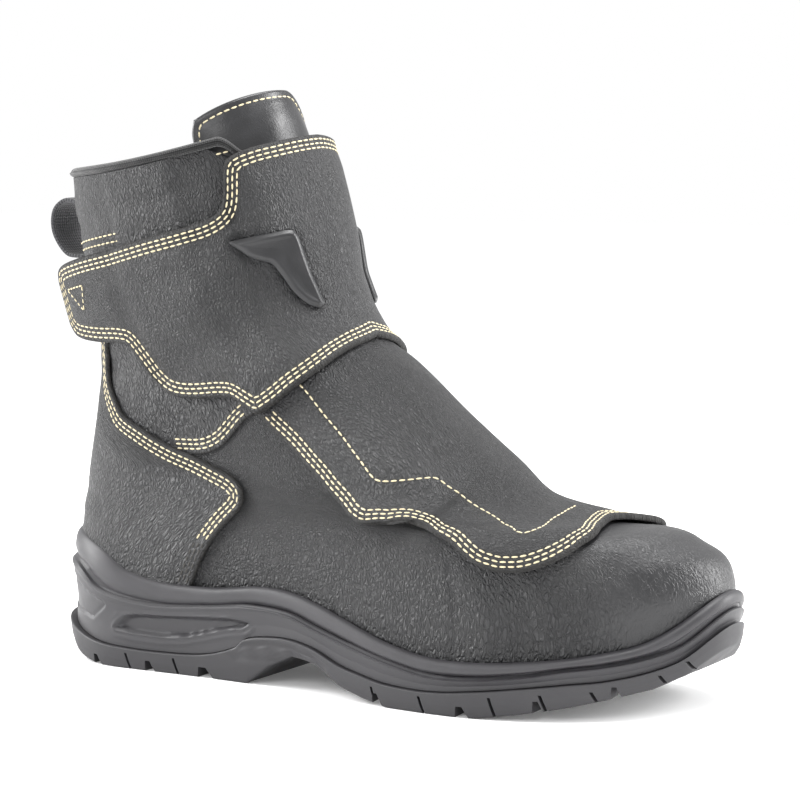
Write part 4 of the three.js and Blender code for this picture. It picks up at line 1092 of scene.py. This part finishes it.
def make_guard():
    down = edged(150, 118)[:, None]
    columns = 2 * edged(210, 190) - 1
    share, side = signed(columns[None, :])
    across = 1 - share
    level, place = guard_shape(down, across)
    free = np.maximum((1 - across) ** 3 * ramp(down, 0.15, 0.5), down**3)
    wall = 2.0 + 0.8 * ramp(down, 0.12, 0.35) + 0 * across
    patch = Patch(level, place, side, 0.9 + panel_rise(place) + 0.5 * free, wall)
    distance = patch.edge(patch.first(), patch.last(), patch.top())
    patch.raise_by(worn_edge(distance, wall) + stitched(distance, LINES) + padding(distance, 6.5, 14, 0.3))
    inner = line_distance(patch.middle, through([skin(t, q, -1, 3.0) for q, t in GUARD_ROW], 200))
    patch.raise_by(stitched(inner, (0.0,), 0.4))
    creased(patch, GUARD_CREASES)
    marks = no_marks(patch)
    marks["raw"] = np.exp(-((distance / 0.9) ** 2))
    piece = patch.closed_wall("guard", marks)
    thread = Thread()

    def clear(level, place, _side):
        return level < smooth(CUFF_BOTTOM, "level", place) - 0.004

    thread.follow(patch, distance, LINES, clear)
    line = through(GUARD_ROW, 260)
    ground = np.array([skin(t, q, -1) for q, t in line])
    half = np.flatnonzero(patch.side[0] < 0)
    flat_points = patch.skin[:, half].reshape(-1, 3)
    near = [int(np.argmin(((flat_points - point) ** 2).sum(1))) for point in ground]
    normal = patch.normal[:, half].reshape(-1, 3)[near]
    tall = (patch.lift + patch.wall)[:, half].reshape(-1)[near]
    thread.along(ground + normal * tall[:, None], normal)
    thread.piece("guard_stitches", pale_thread(), "metatarsal_guard")
    return settle(piece, black_leather("guard", grain=1.2, stretch=1.6, turn=12.0, depth=0.9),
                  "metatarsal_guard", "metatarsal_guard")


def pad_places(side, rows, wide):
    front, back = np.array(PAD_FRONT), np.array(PAD_BACK)
    steps = np.arange(len(front), dtype=float)
    at = rows[:, None] * steps[-1]
    a = [hermite(steps, front[:, k], at) for k in (0, 1)]
    b = [hermite(steps, back[:, k], at) for k in (0, 1)]
    return a[0] + (b[0] - a[0]) * wide[None, :], a[1] + (b[1] - a[1]) * wide[None, :], side


def make_cuff():
    around = np.concatenate([[0.15, 0.1508, 0.1517, 0.153], spread(0.155, 1.575, 560), [1.5777, 1.579, 1.58]])
    place = np.where(around <= 1, around, 2 - around)[None, :]
    side = np.where(around <= 1, -1, 1)[None, :]
    low, high = cuff_span(place)
    up = edged(85, 64)[:, None]
    level = low + (high - low) * up
    patch = Patch(level, place, side, cuff_lift(place, level) - 0.15, 2.8)
    distance = patch.edge(patch.top(), patch.bottom(), patch.first())
    patch.raise_by(worn_edge(distance, 2.8) + stitched(distance, LINES) + padding(distance, 6.5, 14, 0.5))
    ring = spread(0, 1, 40)
    for sign in (-1, 1):
        flat = np.zeros(1)
        rims = []
        for rows, wide in ((ring, flat), (ring, flat + 1), (flat, ring), (flat + 1, ring)):
            a, b, _ = pad_places(sign, rows, wide)
            rims.append(skin(a, b, sign, 4.0).reshape(-1, 3))
        near = np.min([line_distance(patch.middle, rim) for rim in rims], 0)
        patch.raise_by(-0.55 * np.exp(-((near / 1.5) ** 2)))
    creased(patch, CUFF_CREASES)
    marks = no_marks(patch)
    marks["raw"] = np.exp(-((distance / 0.8) ** 2))
    front = ramp(patch.place, 0.66, 0.8)
    marks["grain"] = 1 - 0.35 * front
    piece = patch.closed_wall("cuff", marks)
    thread = Thread()
    thread.follow(patch, distance, LINES)
    triangle = [(0.2, 0.785), (0.262, 0.79), (0.243, 0.742), (0.2, 0.785)]
    for a, b in zip(triangle, triangle[1:]):
        places = [tuple(np.array(a) + (np.array(b) - np.array(a)) * s) for s in (0, 0.33, 0.67, 1)]
        centre = np.array([skin(t, q, -1, float(cuff_lift(q, t)) + 3.15) for q, t in through(places, 60)])
        normal = np.array([outward(t, q, -1) for q, t in through(places, 60)])
        thread.along(centre, normal, pitch=2.3, long=1.9)
    thread.piece("cuff_stitches", pale_thread(), "ankle_cuff")
    return settle(piece, black_leather("cuff", grain=1.2, stretch=2.0, turn=62.0, depth=1.1),
                  "ankle_cuff", "ankle_cuff")


def make_pads():
    for side, name in ((-1, "shin_pad_lateral"), (1, "shin_pad_medial")):
        level, place, sign = pad_places(side, edged(60, 60), edged(26, 30))
        patch = Patch(level, place, sign, cuff_lift(place, level) + 2.75, 2.1)
        distance = patch.edge(patch.first(), patch.last(), patch.top(), patch.bottom())
        shoulder = ramp(distance, -1.6, 1.7) - 1
        patch.raise_by(shoulder * 2.0 + 0.25 * np.exp(-(((distance - 2.2) / 0.9) ** 2))
                       - 0.35 * ramp(distance, 2, 8))
        marks = no_marks(patch, 0.12)
        piece = patch.closed_wall(name, marks)
        settle(piece, black_leather("pad", grain=1.1, depth=0.3, rough=0.36), name, name)


def make_tongue():
    top = 1 + TONGUE_RISE / float(skin(2, 1, -1)[2] - skin(1, 1, -1)[2])
    up = edged(160, 90)[:, None]
    columns = 2 * edged(90, 80) - 1
    share, side = signed(columns[None, :])
    across = 1 - share
    edge = smooth(TONGUE_EDGE, "round", up)
    place = edge + (1 - edge) * across
    corner = np.where(side < 0, 0.014 * (1 - across) ** 5, 0.075 * ramp(1 - across, 0.02, 0.8))
    level = TONGUE_BOTTOM + (top - corner - TONGUE_BOTTOM) * up
    depth = -(WALL + 0.875 + 3 * ramp(up, 0.4, 0.75)) + 0 * across
    patch = Patch(level, place, side, depth - 3, 3.0)
    distance = patch.edge(patch.first(), patch.last(), patch.top())
    rounded = np.sqrt(np.clip(1 - (1 - np.clip(distance / 1.5, 0, 1)) ** 2, 0, 1)) - 1
    patch.raise_by(rounded * 1.2 + stitched(distance, (3.2,), 0.5) + padding(distance, 4, 12, 0.5))
    piece = patch.closed_wall("tongue", no_marks(patch, 0.15))
    thread = Thread()
    thread.follow(patch, distance, (3.2,), lambda level, place, side: level > 0.8)
    thread.piece("tongue_stitches", pale_thread(), "tongue")
    return settle(piece, black_leather("tongue", grain=1.0, depth=0.3, rough=0.33), "tongue", "tongue")


def make_binding():
    columns = np.concatenate([[-1], spread(-1, 1, 400), [1]])
    share, side = signed(columns)
    place = throat_place(share * THROAT_ROUND, 1.0)
    centre = skin(np.ones(len(columns)), place, side, -WALL / 2)
    across = outward(np.ones(len(columns)), place, side)
    across[:, 2] = 0
    across /= np.linalg.norm(across, axis=1, keepdims=True)
    turn = spread(0, 2 * np.pi, 33)
    squash = np.where(np.sin(turn) < 0, 1.0, 0.82)[:, None]
    size = np.ones(len(columns))
    size[[0, -1]] = 0.02
    wave = 1 + 0.03 * np.sin(spread(0, 160, len(columns)))
    out = np.cos(turn)[:, None, None] * across[None] * (2.7 * squash * size * wave)[..., None]
    rise = 3.4 - 10.4 * ramp(place, 0.7, 0.8) + np.sin(turn)[:, None] * 2.0 * size[None, :]
    points = centre[None] + out
    points[..., 2] += rise
    radial = out.copy()
    radial[..., 2] = np.sin(turn)[:, None] * size
    piece = merge(grid_piece("binding", points, radial), 2e-5)
    shade(piece)
    material = finish_of(
        "binding", lambda: cloth("binding_fabric", tuple(colours().binding) + (1,), 0.9, 0.3))
    thread = Thread()
    line = through([(q, 0.992) for q in (0.698, 0.71, 0.722, 0.733)], 40)
    ground = np.array([skin(t, q, -1, 0.2) for q, t in line])
    normal = np.array([outward(t, q, -1) for q, t in line])
    thread.along(ground, normal, pitch=2.6, long=2.3)
    thread.piece("binding_bar_tack", pale_thread(), "collar_binding")
    return settle(piece, material, "collar_binding", "collar_binding")


def make_loop():
    lie = 0.7 + 0.8
    stops = [skin(t, 0, -1, lie) for t in (0.985, 0.955)]
    top, foot = skin(0.955, 0, -1, lie), skin(0.835, 0, -1, lie)
    for reach, rise in ((0.42, 1.02), (0.83, 0.87), (1, 0.62), (0.95, 0.35), (0.6, 0.07)):
        point = foot + (top - foot) * rise
        point[0] -= 15 * reach
        stops.append(point)
    stops += [foot, skin(0.8, 0, -1, lie)]
    line = through(np.array(stops), 90)
    run = np.gradient(line, axis=0)
    normal = np.stack([-run[:, 2], 0 * run[:, 0], run[:, 0]], -1)
    normal /= np.linalg.norm(normal, axis=1, keepdims=True)
    if normal[45, 0] > 0:
        normal = -normal
    across = np.concatenate([[-1, -0.97, -0.9], spread(-0.8, 0.8, 15), [0.9, 0.97, 1]])
    curl = 0.8 * (1 - 0.35 * np.abs(across) ** 6)
    middle = line[:, None] + normal[:, None] * curl[None, :, None]
    points = middle + np.array([0, 1, 0]) * (across * 10)[None, :, None]
    piece = grid_piece("loop", points, np.broadcast_to(normal[:, None], points.shape))
    apply(piece, "SOLIDIFY", thickness=1.6 * MM, offset=-1)
    apply(piece, "BEVEL", width=0.35 * MM, segments=2, limit_method="ANGLE", angle_limit=math.radians(60))
    shade(piece, 40)
    material = finish_of(
        "webbing", lambda: cloth("loop_webbing", tuple(colours().webbing) + (1,), 1.6, 0.4, 0.75))
    return settle(piece, material, "pull_loop", "pull_loop")


# Recesses of the sole's lateral wall seen from the side: share of the length, share of the sole height
SIDE_WINDOW = [
    (0.133, 0.43), (0.139, 0.48), (0.152, 0.55), (0.172, 0.575), (0.239, 0.6), (0.33, 0.645), (0.356, 0.625),
    (0.35, 0.588), (0.32, 0.552), (0.28, 0.475), (0.25, 0.42), (0.21, 0.395), (0.165, 0.402),
]
HEEL_WINDOW = [
    (-0.02, 1.05), (0.03, 0.9), (0.075, 0.78), (0.108, 0.69), (0.115, 0.655), (0.11, 0.62), (0.088, 0.5),
    (0.036, 0.57), (-0.02, 0.66),
]
ARCH_WINDOW = [
    (0.325, 0.33), (0.341, 0.402), (0.393, 0.46), (0.436, 0.45), (0.475, 0.397), (0.495, 0.325),
    (0.495, 0.125), (0.449, 0.125), (0.426, 0.265), (0.407, 0.258), (0.37, 0.25), (0.341, 0.26),
]
LEDGE_DEPTH = 2.2
BEAD_PROUD = 3.4
HEEL_DRAW = 0.55


def cup_clearance(place):
    return 0.35 + 2.85 * (1 - ramp(place, 0.36, 0.42))


def level_at(height, place):
    low, high = np.zeros_like(height), np.full_like(height, 0.5)
    for _ in range(24):
        middle = (low + high) / 2
        below = face_point(middle, place, -1)[..., 2] < height
        low, high = np.where(below, middle, low), np.where(below, high, middle)
    return low


def outline_distance(x, z, outline):
    """Signed distance in millimetres from a closed outline seen from the side, negative inside."""
    corners = np.array([(a * LENGTH - HEEL_BEHIND, h * SOLE_HEIGHT) for a, h in outline])
    found = np.full(x.shape, 1e9)
    inside = np.zeros(x.shape, bool)
    for (ax, az), (bx, bz) in zip(corners, np.roll(corners, -1, axis=0)):
        run = (bx - ax) ** 2 + (bz - az) ** 2
        share = np.clip(((x - ax) * (bx - ax) + (z - az) * (bz - az)) / run, 0, 1)
        found = np.minimum(found, np.hypot(x - ax - share * (bx - ax), z - az - share * (bz - az)))
        crosses = (az > z) != (bz > z)
        at = ax + (z - az) * (bx - ax) / np.where(bz == az, 1e-9, bz - az)
        inside ^= crosses & (x < at)
    return np.where(inside, -found, found)


def sole_columns(count):
    around = spread(0, 2, 2 * count + 1)
    return np.where(around <= 1, around, 2 - around)[None, :], np.where(around <= 1, -1, 1)[None, :]


def wall_points(place, side, grow, height_of):
    x = sole_x(place, grow)
    z = height_of(x)
    x, y, z = np.broadcast_arrays(x, sole_y(x, side, grow), z)
    return np.stack([x, y, z], -1)


def folded_in(ring, shares):
    """Rows that draw a ring in to the middle line, so that it closes there."""
    middle = centre_y(ring[..., 0])
    rows = []
    for share in shares:
        row = ring.copy()
        row[..., 1] = middle + (ring[..., 1] - middle) * share
        rows.append(row)
    return rows


def stacked(name, rows):
    """Closed solid of stacked rings on shared columns."""
    points = np.stack([np.asarray(row).reshape(-1, 3) for row in rows])
    middle = points.mean(1, keepdims=True)
    out = points - middle
    piece = grid_piece(name, points, out * (np.hypot(out[..., 0], out[..., 1]) > 5)[..., None])
    merge(piece, 2e-5)
    edit(piece, (bpy.ops.mesh.dissolve_degenerate, {"threshold": 1e-6}),
         (bpy.ops.mesh.normals_make_consistent, {"inside": False}))
    return piece


SOLE_COLUMNS = 340
CUP_LIFT = 0.3


def make_midsole():
    place, side = sole_columns(sizes().sole_columns)
    x0 = sole_x(place, 0.0)
    rib, rand = sole_z("rib", x0), sole_z("rand", x0)
    rows = []

    bottom = wall_points(place, side, -LEDGE_DEPTH, lambda x: sole_z("ledge", x) + CUP_LIFT)
    rows += folded_in(bottom, (0, 0.35, 0.7, 0.95))
    for share in np.concatenate([[0, 0.015], spread(0.04, 0.9, 24), [0.93, 0.955, 0.975, 0.99, 1.0]]):
        base = np.interp(share, [0, 0.4, 0.9, 1], [-1, -0.95, -0.4, -0.25]) * LEDGE_DEPTH
        lip = 0.35 * np.exp(-(((share - 0.95) / 0.045) ** 2)) - 0.7 * ramp(share, 0.965, 1.0)
        x = sole_x(place, base)
        ledge = sole_z("ledge", x) + CUP_LIFT
        z = ledge + share * (sole_z("rib", x) - ledge)
        grow = base + lip + 0 * z
        for outline, deep, ridge in ((SIDE_WINDOW, 1.9, 0.5), (HEEL_WINDOW, 0.3, 0.1)):
            near = outline_distance(x, z, outline)
            grow = grow - deep * ramp(-near, -0.2, 0.9) + ridge * np.exp(-(((near - 1.1) / 0.7) ** 2))
            grow = grow - 0.6 * np.exp(-((near / 0.5) ** 2))
        shelf = outline_distance(x, z, SIDE_WINDOW)
        grow = grow + 0.45 * np.exp(-(((shelf - 3.4) / 0.8) ** 2)) * (z < 0.6 * SOLE_HEIGHT) * ramp(x, -6, 4)
        rows.append(wall_points(place, side, grow, lambda _x, z=z: z))
    rows.append(wall_points(place, side, -1.4, lambda x: sole_z("rib", x) + 0.12 * BEAD_PROUD))
    rows.append(wall_points(place, side, -LEDGE_DEPTH, lambda x: sole_z("rib", x) + 0.3 * BEAD_PROUD))
    clear = cup_clearance(place)
    base = clear - HEEL_DRAW * (clear - 0.35)
    for turn in spread(-62, 88, 17):
        up = 0.5 + 0.5 * math.sin(math.radians(turn))
        out = max(math.cos(math.radians(turn)), 0) ** 0.8
        height = rib + 0.25 * BEAD_PROUD + up * (rand - rib - 0.25 * BEAD_PROUD)
        level = level_at(height, place)
        swell = 0.06 * np.exp(-(((up - 0.35) / 0.1) ** 2))
        rows.append(skin(level, place, side, base + (out + swell) * BEAD_PROUD))
    top = level_at(rand - 0.6, place)
    rows.append(skin(top, place, side, clear - 0.15))
    for share in (0.6, 0.25, 0.0):
        rows.append(skin(top * share, place, side, clear))
    bed = rows[-1].copy()
    bed[..., 2] -= 0.35
    rows[-1] = bed
    rows += folded_in(bed, (0.7, 0.35, 0))
    piece = stacked("midsole_wall", rows)
    shade(piece, 42)
    material = finish_of("midsole", lambda: rubber("midsole_foam", tuple(colours().sole) + (1,), 0.5))
    return settle(piece, material, "midsole", "midsole")


SIDE_GROOVES = [
    ([(0.098, 0.34), (0.098, 1.2)], 1.0), ([(0.194, 0.36), (0.19, 1.2)], 1.1),
    ([(0.28, 0.34), (0.284, 1.2)], 1.75),
    ([(0.57, 0.4), (0.585, 1.2)], 1.0), ([(0.7, 0.42), (0.713, 1.2)], 1.25),
    ([(0.8, 0.42), (0.81, 1.2)], 0.9),
    ([(0.88, 0.36), (0.908, 1.2)], 0.9),
]
LOOP_GROOVES = [
    ([(0.345, 0.36), (0.2, 0.4), (0.11, 0.36), (0.088, 0)], 1.1),
    ([(0.53, 0.4), (0.6, 0.46), (0.72, 0.47), (0.82, 0.45), (0.89, 0.4), (0.94, 0)], 1.25),
]
CROSS_GROOVES = (0.19, 0.27, 0.62, 0.68, 0.74, 0.8, 0.86)
SLITS = (6.5, 31.0, 135.0, 158.0, 188.0, 207.0, 224.5, 246.0, 254.0)
GROOVE_WIDTH = 4.0
TREAD_DEPTH = 4.5


def groove_cutter(path, wide):
    places = []
    for share, half in path:
        x = np.float64(share * LENGTH - HEEL_BEHIND)
        places.append((float(x), float(centre_y(x) + half * plan_half(x, np.sign(half)))))
    places = np.array(places)
    if len(places) > 2:
        places = through(places, 8 * len(places))
    loops = []
    for k, (x, y) in enumerate(places):
        run = places[min(k + 1, len(places) - 1)] - places[max(k - 1, 0)]
        run = run / np.linalg.norm(run)
        floor = float(sole_z("floor", np.float64(x)))
        loop = []
        for half, z in ((-0.3, TREAD_DEPTH), (0.22, TREAD_DEPTH), (1.15, -TREAD_DEPTH), (-0.6, -TREAD_DEPTH)):
            across = half * wide * GROOVE_WIDTH
            loop.append((x - run[1] * across, y + run[0] * across, floor + z))
        loops.append(loop)
    return loops


def cutter(name, all_loops):
    """One mesh of the tread's cutters, each swept through its four-cornered loops."""
    points, faces = [], []
    for loops in all_loops:
        start = len(points)
        for k, loop in enumerate(loops):
            points += [tuple(v * MM for v in corner) for corner in loop]
            if k:
                a, b = start + 4 * (k - 1), start + 4 * k
                faces += [(a + j, a + (j + 1) % 4, b + (j + 1) % 4, b + j) for j in range(4)]
        end = start + 4 * (len(loops) - 1)
        faces += [(start + 3, start + 2, start + 1, start), (end, end + 1, end + 2, end + 3)]
    mesh = bpy.data.meshes.new(name)
    mesh.from_pydata(points, [], faces)
    piece = bpy.data.objects.new(name, mesh)
    bpy.context.collection.objects.link(piece)
    return edit(piece, (bpy.ops.mesh.normals_make_consistent, {"inside": False}))


def slit_cutter(x, side, deep=3.2, wide=1.2):
    out = float(sole_y(np.float64(x), side, 2.0))
    inner = float(sole_y(np.float64(x), side, -deep))
    floor = float(sole_z("floor", np.float64(x)))
    tall = float(sole_z("ledge", np.float64(x))) * 0.78
    lean = 1.2 * side
    loops = []
    for z, shift in ((floor - 3, 1.2), (max(tall, floor + 3.5), -1.6)):
        loops.append([(x - wide / 2 + shift, inner, z), (x + wide / 2 + shift, inner, z),
                      (x + wide / 2 + shift, out + lean, z), (x - wide / 2 + shift, out + lean, z)])
    return loops


def make_outsole():
    place, side = sole_columns(300)
    rows = []

    def ring(share, setback):
        def height(x):
            floor = sole_z("floor", x)
            return floor + share * (sole_z("ledge", x) - floor)
        return wall_points(place, side, -setback * LEDGE_DEPTH, height)

    rows += folded_in(ring(1.0, 1.0), (0, 0.4, 0.8, 0.97))
    profile = np.array([(1.0, 1.0), (1.0, 0.5), (0.99, 0.24), (0.965, 0.12), (0.94, 0.1), (0.8, 0.15),
                        (0.65, 0.21),
                        (0.45, 0.3), (0.3, 0.45), (0.15, 0.61), (0.06, 0.72), (0.02, 0.85), (0.0, 1.05)])
    steps = np.arange(len(profile), dtype=float)
    fine = np.concatenate([spread(0, 4, 7), spread(4.25, 10, 24), [11, 12]])
    for share, setback in zip(np.interp(fine, steps, profile[:, 0]), np.interp(fine, steps, profile[:, 1])):
        point = ring(share, setback)
        near = outline_distance(point[..., 0], point[..., 2], ARCH_WINDOW)
        ladder = (point[..., 0] * 0.8 + point[..., 2]) / 9
        deep = 0.7 * ramp(-near, 0, 1) + 0.5 * np.exp(-((near / 0.7) ** 2))
        deep = deep - 0.45 * ramp(-near, 1, 2) * ramp(np.abs(ladder - np.round(ladder)), 0.2, 0.34)
        point[..., 1] -= np.sign(point[..., 1] - centre_y(point[..., 0])) * deep
        point[..., 0] -= 2.0 * max(1 - setback, 0) * (1 - ramp(place, 0, 0.22))
        rows.append(point)
    rows += folded_in(ring(0.0, 1.05), (0.96, 0.85, 0.7, 0.5, 0.25, 0))
    piece = stacked("outsole_tread", rows)
    loops = []
    for path, wide in SIDE_GROOVES:
        loops += [groove_cutter(path, wide), groove_cutter([(a, -h) for a, h in path], wide)]
    for path, wide in LOOP_GROOVES:
        loops.append(groove_cutter(path + [(a, -h) for a, h in path[:-1]][::-1], wide))
    for share in CROSS_GROOVES:
        loops.append(groove_cutter([(share, -0.45), (share + 0.02, 0.0), (share, 0.45)], 0.9))
    for x in SLITS:
        loops += [slit_cutter(x, -1), slit_cutter(x, 1)]
    for one in loops:
        knife = cutter("tread_cutter", [one])
        apply(piece, "BOOLEAN", operation="DIFFERENCE", object=knife, solver="EXACT")
        bpy.data.objects.remove(knife)
    shade(piece, 38)
    material = finish_of(
        "outsole", lambda: rubber("outsole_rubber", tuple(0.85 * c for c in colours().sole) + (1,),
                                                   0.56))
    return settle(piece, material, "outsole", "outsole")


def make_insole():
    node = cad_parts["insole"]
    material = Paint("insole_felt")
    place = material.node("TexCoord", out=3)
    fuzz = material.noise(place, 900.0, 4.0)
    material.bump(fuzz, 0.25)
    shade_of = material.mix(material.between(fuzz, 0.3, 0.7), srgb("161618"), srgb("2b2b2e"))
    material.finish(Base_Color=shade_of, Roughness=0.92)
    node.data.materials.clear()
    node.data.materials.append(material.material)


VIEW_TARGET = (0.115231, 0.0, 0.116188)
VIEW_DISTANCE = 1.097994
VIEW_ANGLE = 17.075
VIEW_TURN = 30.0
VIEW_RISE = 5.439


def make_camera():
    turn, rise = math.radians(VIEW_TURN), math.radians(VIEW_RISE)
    right = Vector((math.cos(turn), math.sin(turn), 0))
    back = Vector((math.sin(turn) * math.cos(rise), -math.cos(turn) * math.cos(rise), math.sin(rise)))
    up = back.cross(right)
    bpy.ops.object.camera_add()
    camera = bpy.context.object
    camera.name = "photo_camera"
    place = Vector(VIEW_TARGET) + back * VIEW_DISTANCE
    camera.matrix_world = Matrix((
        (right.x, up.x, back.x, place.x), (right.y, up.y, back.y, place.y),
        (right.z, up.z, back.z, place.z), (0, 0, 0, 1)))
    camera.data.angle = math.radians(VIEW_ANGLE)
    camera.data.clip_start = 0.05
    bpy.context.scene.camera = camera


LIGHT_AIM = (0.1, 0, 0.12)
LIGHTS = (
    ("soft_box_left", (-1.0, -0.35, 0.55), (0.5, 1.1), 22),
    ("soft_box_right", (1.2, 0.75, 0.55), (0.5, 1.1), 26),
    ("soft_box_top", (0.35, 0.1, 1.3), (1.0, 0.5), 20),
    ("soft_box_front", (0.2, -1.5, 0.9), (0.9, 0.5), 9),
)


def make_light(name, place, size, power):
    bpy.ops.object.light_add(type="AREA", location=place)
    light = bpy.context.object
    light.name = name
    light.rotation_euler = (Vector(place) - Vector(LIGHT_AIM)).to_track_quat("Z", "Y").to_euler()
    light.data.shape = "RECTANGLE"
    light.data.size, light.data.size_y = size
    light.data.energy = power


def make_stage():
    bpy.ops.mesh.primitive_plane_add(size=1)
    floor = bpy.context.object
    floor.name = "studio_floor"
    edit(floor, (bpy.ops.transform.resize, {"value": (12, 12, 1)}))
    paint = Paint("studio_floor")
    white = paint.finish(Base_Color=(0.95, 0.95, 0.95, 1), Roughness=0.9, Specular_IOR_Level=0,
                         Emission_Color=(1, 1, 1, 1), Emission_Strength=0.09)
    floor.data.materials.append(white)
    world = bpy.context.scene.world or bpy.data.worlds.new("studio")
    bpy.context.scene.world = world
    world.use_nodes = True
    world.node_tree.nodes["Background"].inputs["Color"].default_value = (1, 1, 1, 1)
    world.node_tree.nodes["Background"].inputs["Strength"].default_value = 1.0
    for light in LIGHTS:
        make_light(*light)
    bpy.context.scene.view_settings.view_transform = "Standard"
    make_camera()


class BOOT_PG_sizes(bpy.types.PropertyGroup):
    """Sizes of the boot that a user would change"""

    stitch_pitch: FloatProperty(name="Stitch pitch", description="Distance from one stitch to the next",
                                default=STITCH_PITCH * MM, min=0.001, unit="LENGTH", subtype="DISTANCE")
    sole_columns: IntProperty(name="Columns round the sole", description="Columns on each side of the sole",
                              default=SOLE_COLUMNS, min=60)


def colour(name, description, code):
    """A colour property whose default is given as a web colour."""
    return FloatVectorProperty(name=name, description=description, size=3, subtype="COLOR",
                               default=srgb(code)[:3], min=0, max=1)


class BOOT_PG_colours(bpy.types.PropertyGroup):
    """Colours of the boot's materials"""

    leather: colour("Leather", "Black leather", "1d1d1f")
    thread: colour("Thread", "Pale sewing thread", "d2c6a4")
    sole: colour("Sole", "Moulded sole", "2f2e31")
    binding: colour("Binding", "Collar binding", "0c0c0d")
    webbing: colour("Webbing", "Pull loop webbing", "333338")


class BOOT_OT_vamp(bpy.types.Operator):
    """Adds the vamp, creased over the ball and the toe"""

    bl_idname = "boot.vamp"
    bl_label = "Vamp"

    def execute(self, context):
        make_vamp()
        return {"FINISHED"}


class BOOT_OT_shaft(bpy.types.Operator):
    """Adds the shaft, with its stitched panel seam, and the lining inside it"""

    bl_idname = "boot.shaft"
    bl_label = "Shaft and lining"

    def execute(self, context):
        make_shaft()
        make_lining()
        return {"FINISHED"}


class BOOT_OT_counter(bpy.types.Operator):
    """Adds the heel counter and its three rows of stitches"""

    bl_idname = "boot.counter"
    bl_label = "Heel counter"

    def execute(self, context):
        make_counter()
        return {"FINISHED"}


class BOOT_OT_guard(bpy.types.Operator):
    """Adds the metatarsal guard and its stitches"""

    bl_idname = "boot.guard"
    bl_label = "Metatarsal guard"

    def execute(self, context):
        make_guard()
        return {"FINISHED"}


class BOOT_OT_cuff(bpy.types.Operator):
    """Adds the ankle cuff with its stitches, and the two shin pads on it"""

    bl_idname = "boot.cuff"
    bl_label = "Ankle cuff and pads"

    def execute(self, context):
        make_cuff()
        make_pads()
        return {"FINISHED"}


class BOOT_OT_tongue(bpy.types.Operator):
    """Adds the padded tongue"""

    bl_idname = "boot.tongue"
    bl_label = "Tongue"

    def execute(self, context):
        make_tongue()
        return {"FINISHED"}


class BOOT_OT_trim(bpy.types.Operator):
    """Adds the collar binding and the pull loop"""

    bl_idname = "boot.trim"
    bl_label = "Binding and pull loop"

    def execute(self, context):
        make_binding()
        make_loop()
        return {"FINISHED"}


class BOOT_OT_sole(bpy.types.Operator):
    """Adds the midsole and the lugged outsole, and dresses the insole"""

    bl_idname = "boot.sole"
    bl_label = "Sole"

    def execute(self, context):
        make_midsole()
        make_outsole()
        make_insole()
        return {"FINISHED"}


class BOOT_OT_stage(bpy.types.Operator):
    """Adds the floor, the soft studio light and the camera"""

    bl_idname = "boot.stage"
    bl_label = "Studio"

    def execute(self, context):
        make_stage()
        return {"FINISHED"}


class BOOT_PT_panel(bpy.types.Panel):
    """Sidebar panel that lists the boot's pieces"""

    bl_label = "Foundry boot"
    bl_space_type = "VIEW_3D"
    bl_region_type = "UI"
    bl_category = "Boot"

    def draw(self, context):
        for operator in OPERATORS:
            self.layout.operator(operator.bl_idname)
        for group in (context.scene.boot_sizes, context.scene.boot_colours):
            for key in group.__annotations__:
                self.layout.prop(group, key)


OPERATORS = (BOOT_OT_sole, BOOT_OT_vamp, BOOT_OT_shaft, BOOT_OT_counter, BOOT_OT_guard, BOOT_OT_cuff,
             BOOT_OT_tongue, BOOT_OT_trim, BOOT_OT_stage)
CLASSES = (BOOT_PG_sizes, BOOT_PG_colours) + OPERATORS + (BOOT_PT_panel,)


def register():
    for one in CLASSES:
        bpy.utils.register_class(one)
    bpy.types.Scene.boot_sizes = PointerProperty(type=BOOT_PG_sizes)
    bpy.types.Scene.boot_colours = PointerProperty(type=BOOT_PG_colours)


def unregister():
    del bpy.types.Scene.boot_sizes, bpy.types.Scene.boot_colours
    for one in reversed(CLASSES):
        bpy.utils.unregister_class(one)


def main():
    register()
    for operator in OPERATORS:
        group, name = operator.bl_idname.split(".")
        getattr(getattr(bpy.ops, group), name)()


if __name__ == "__main__":
    main()
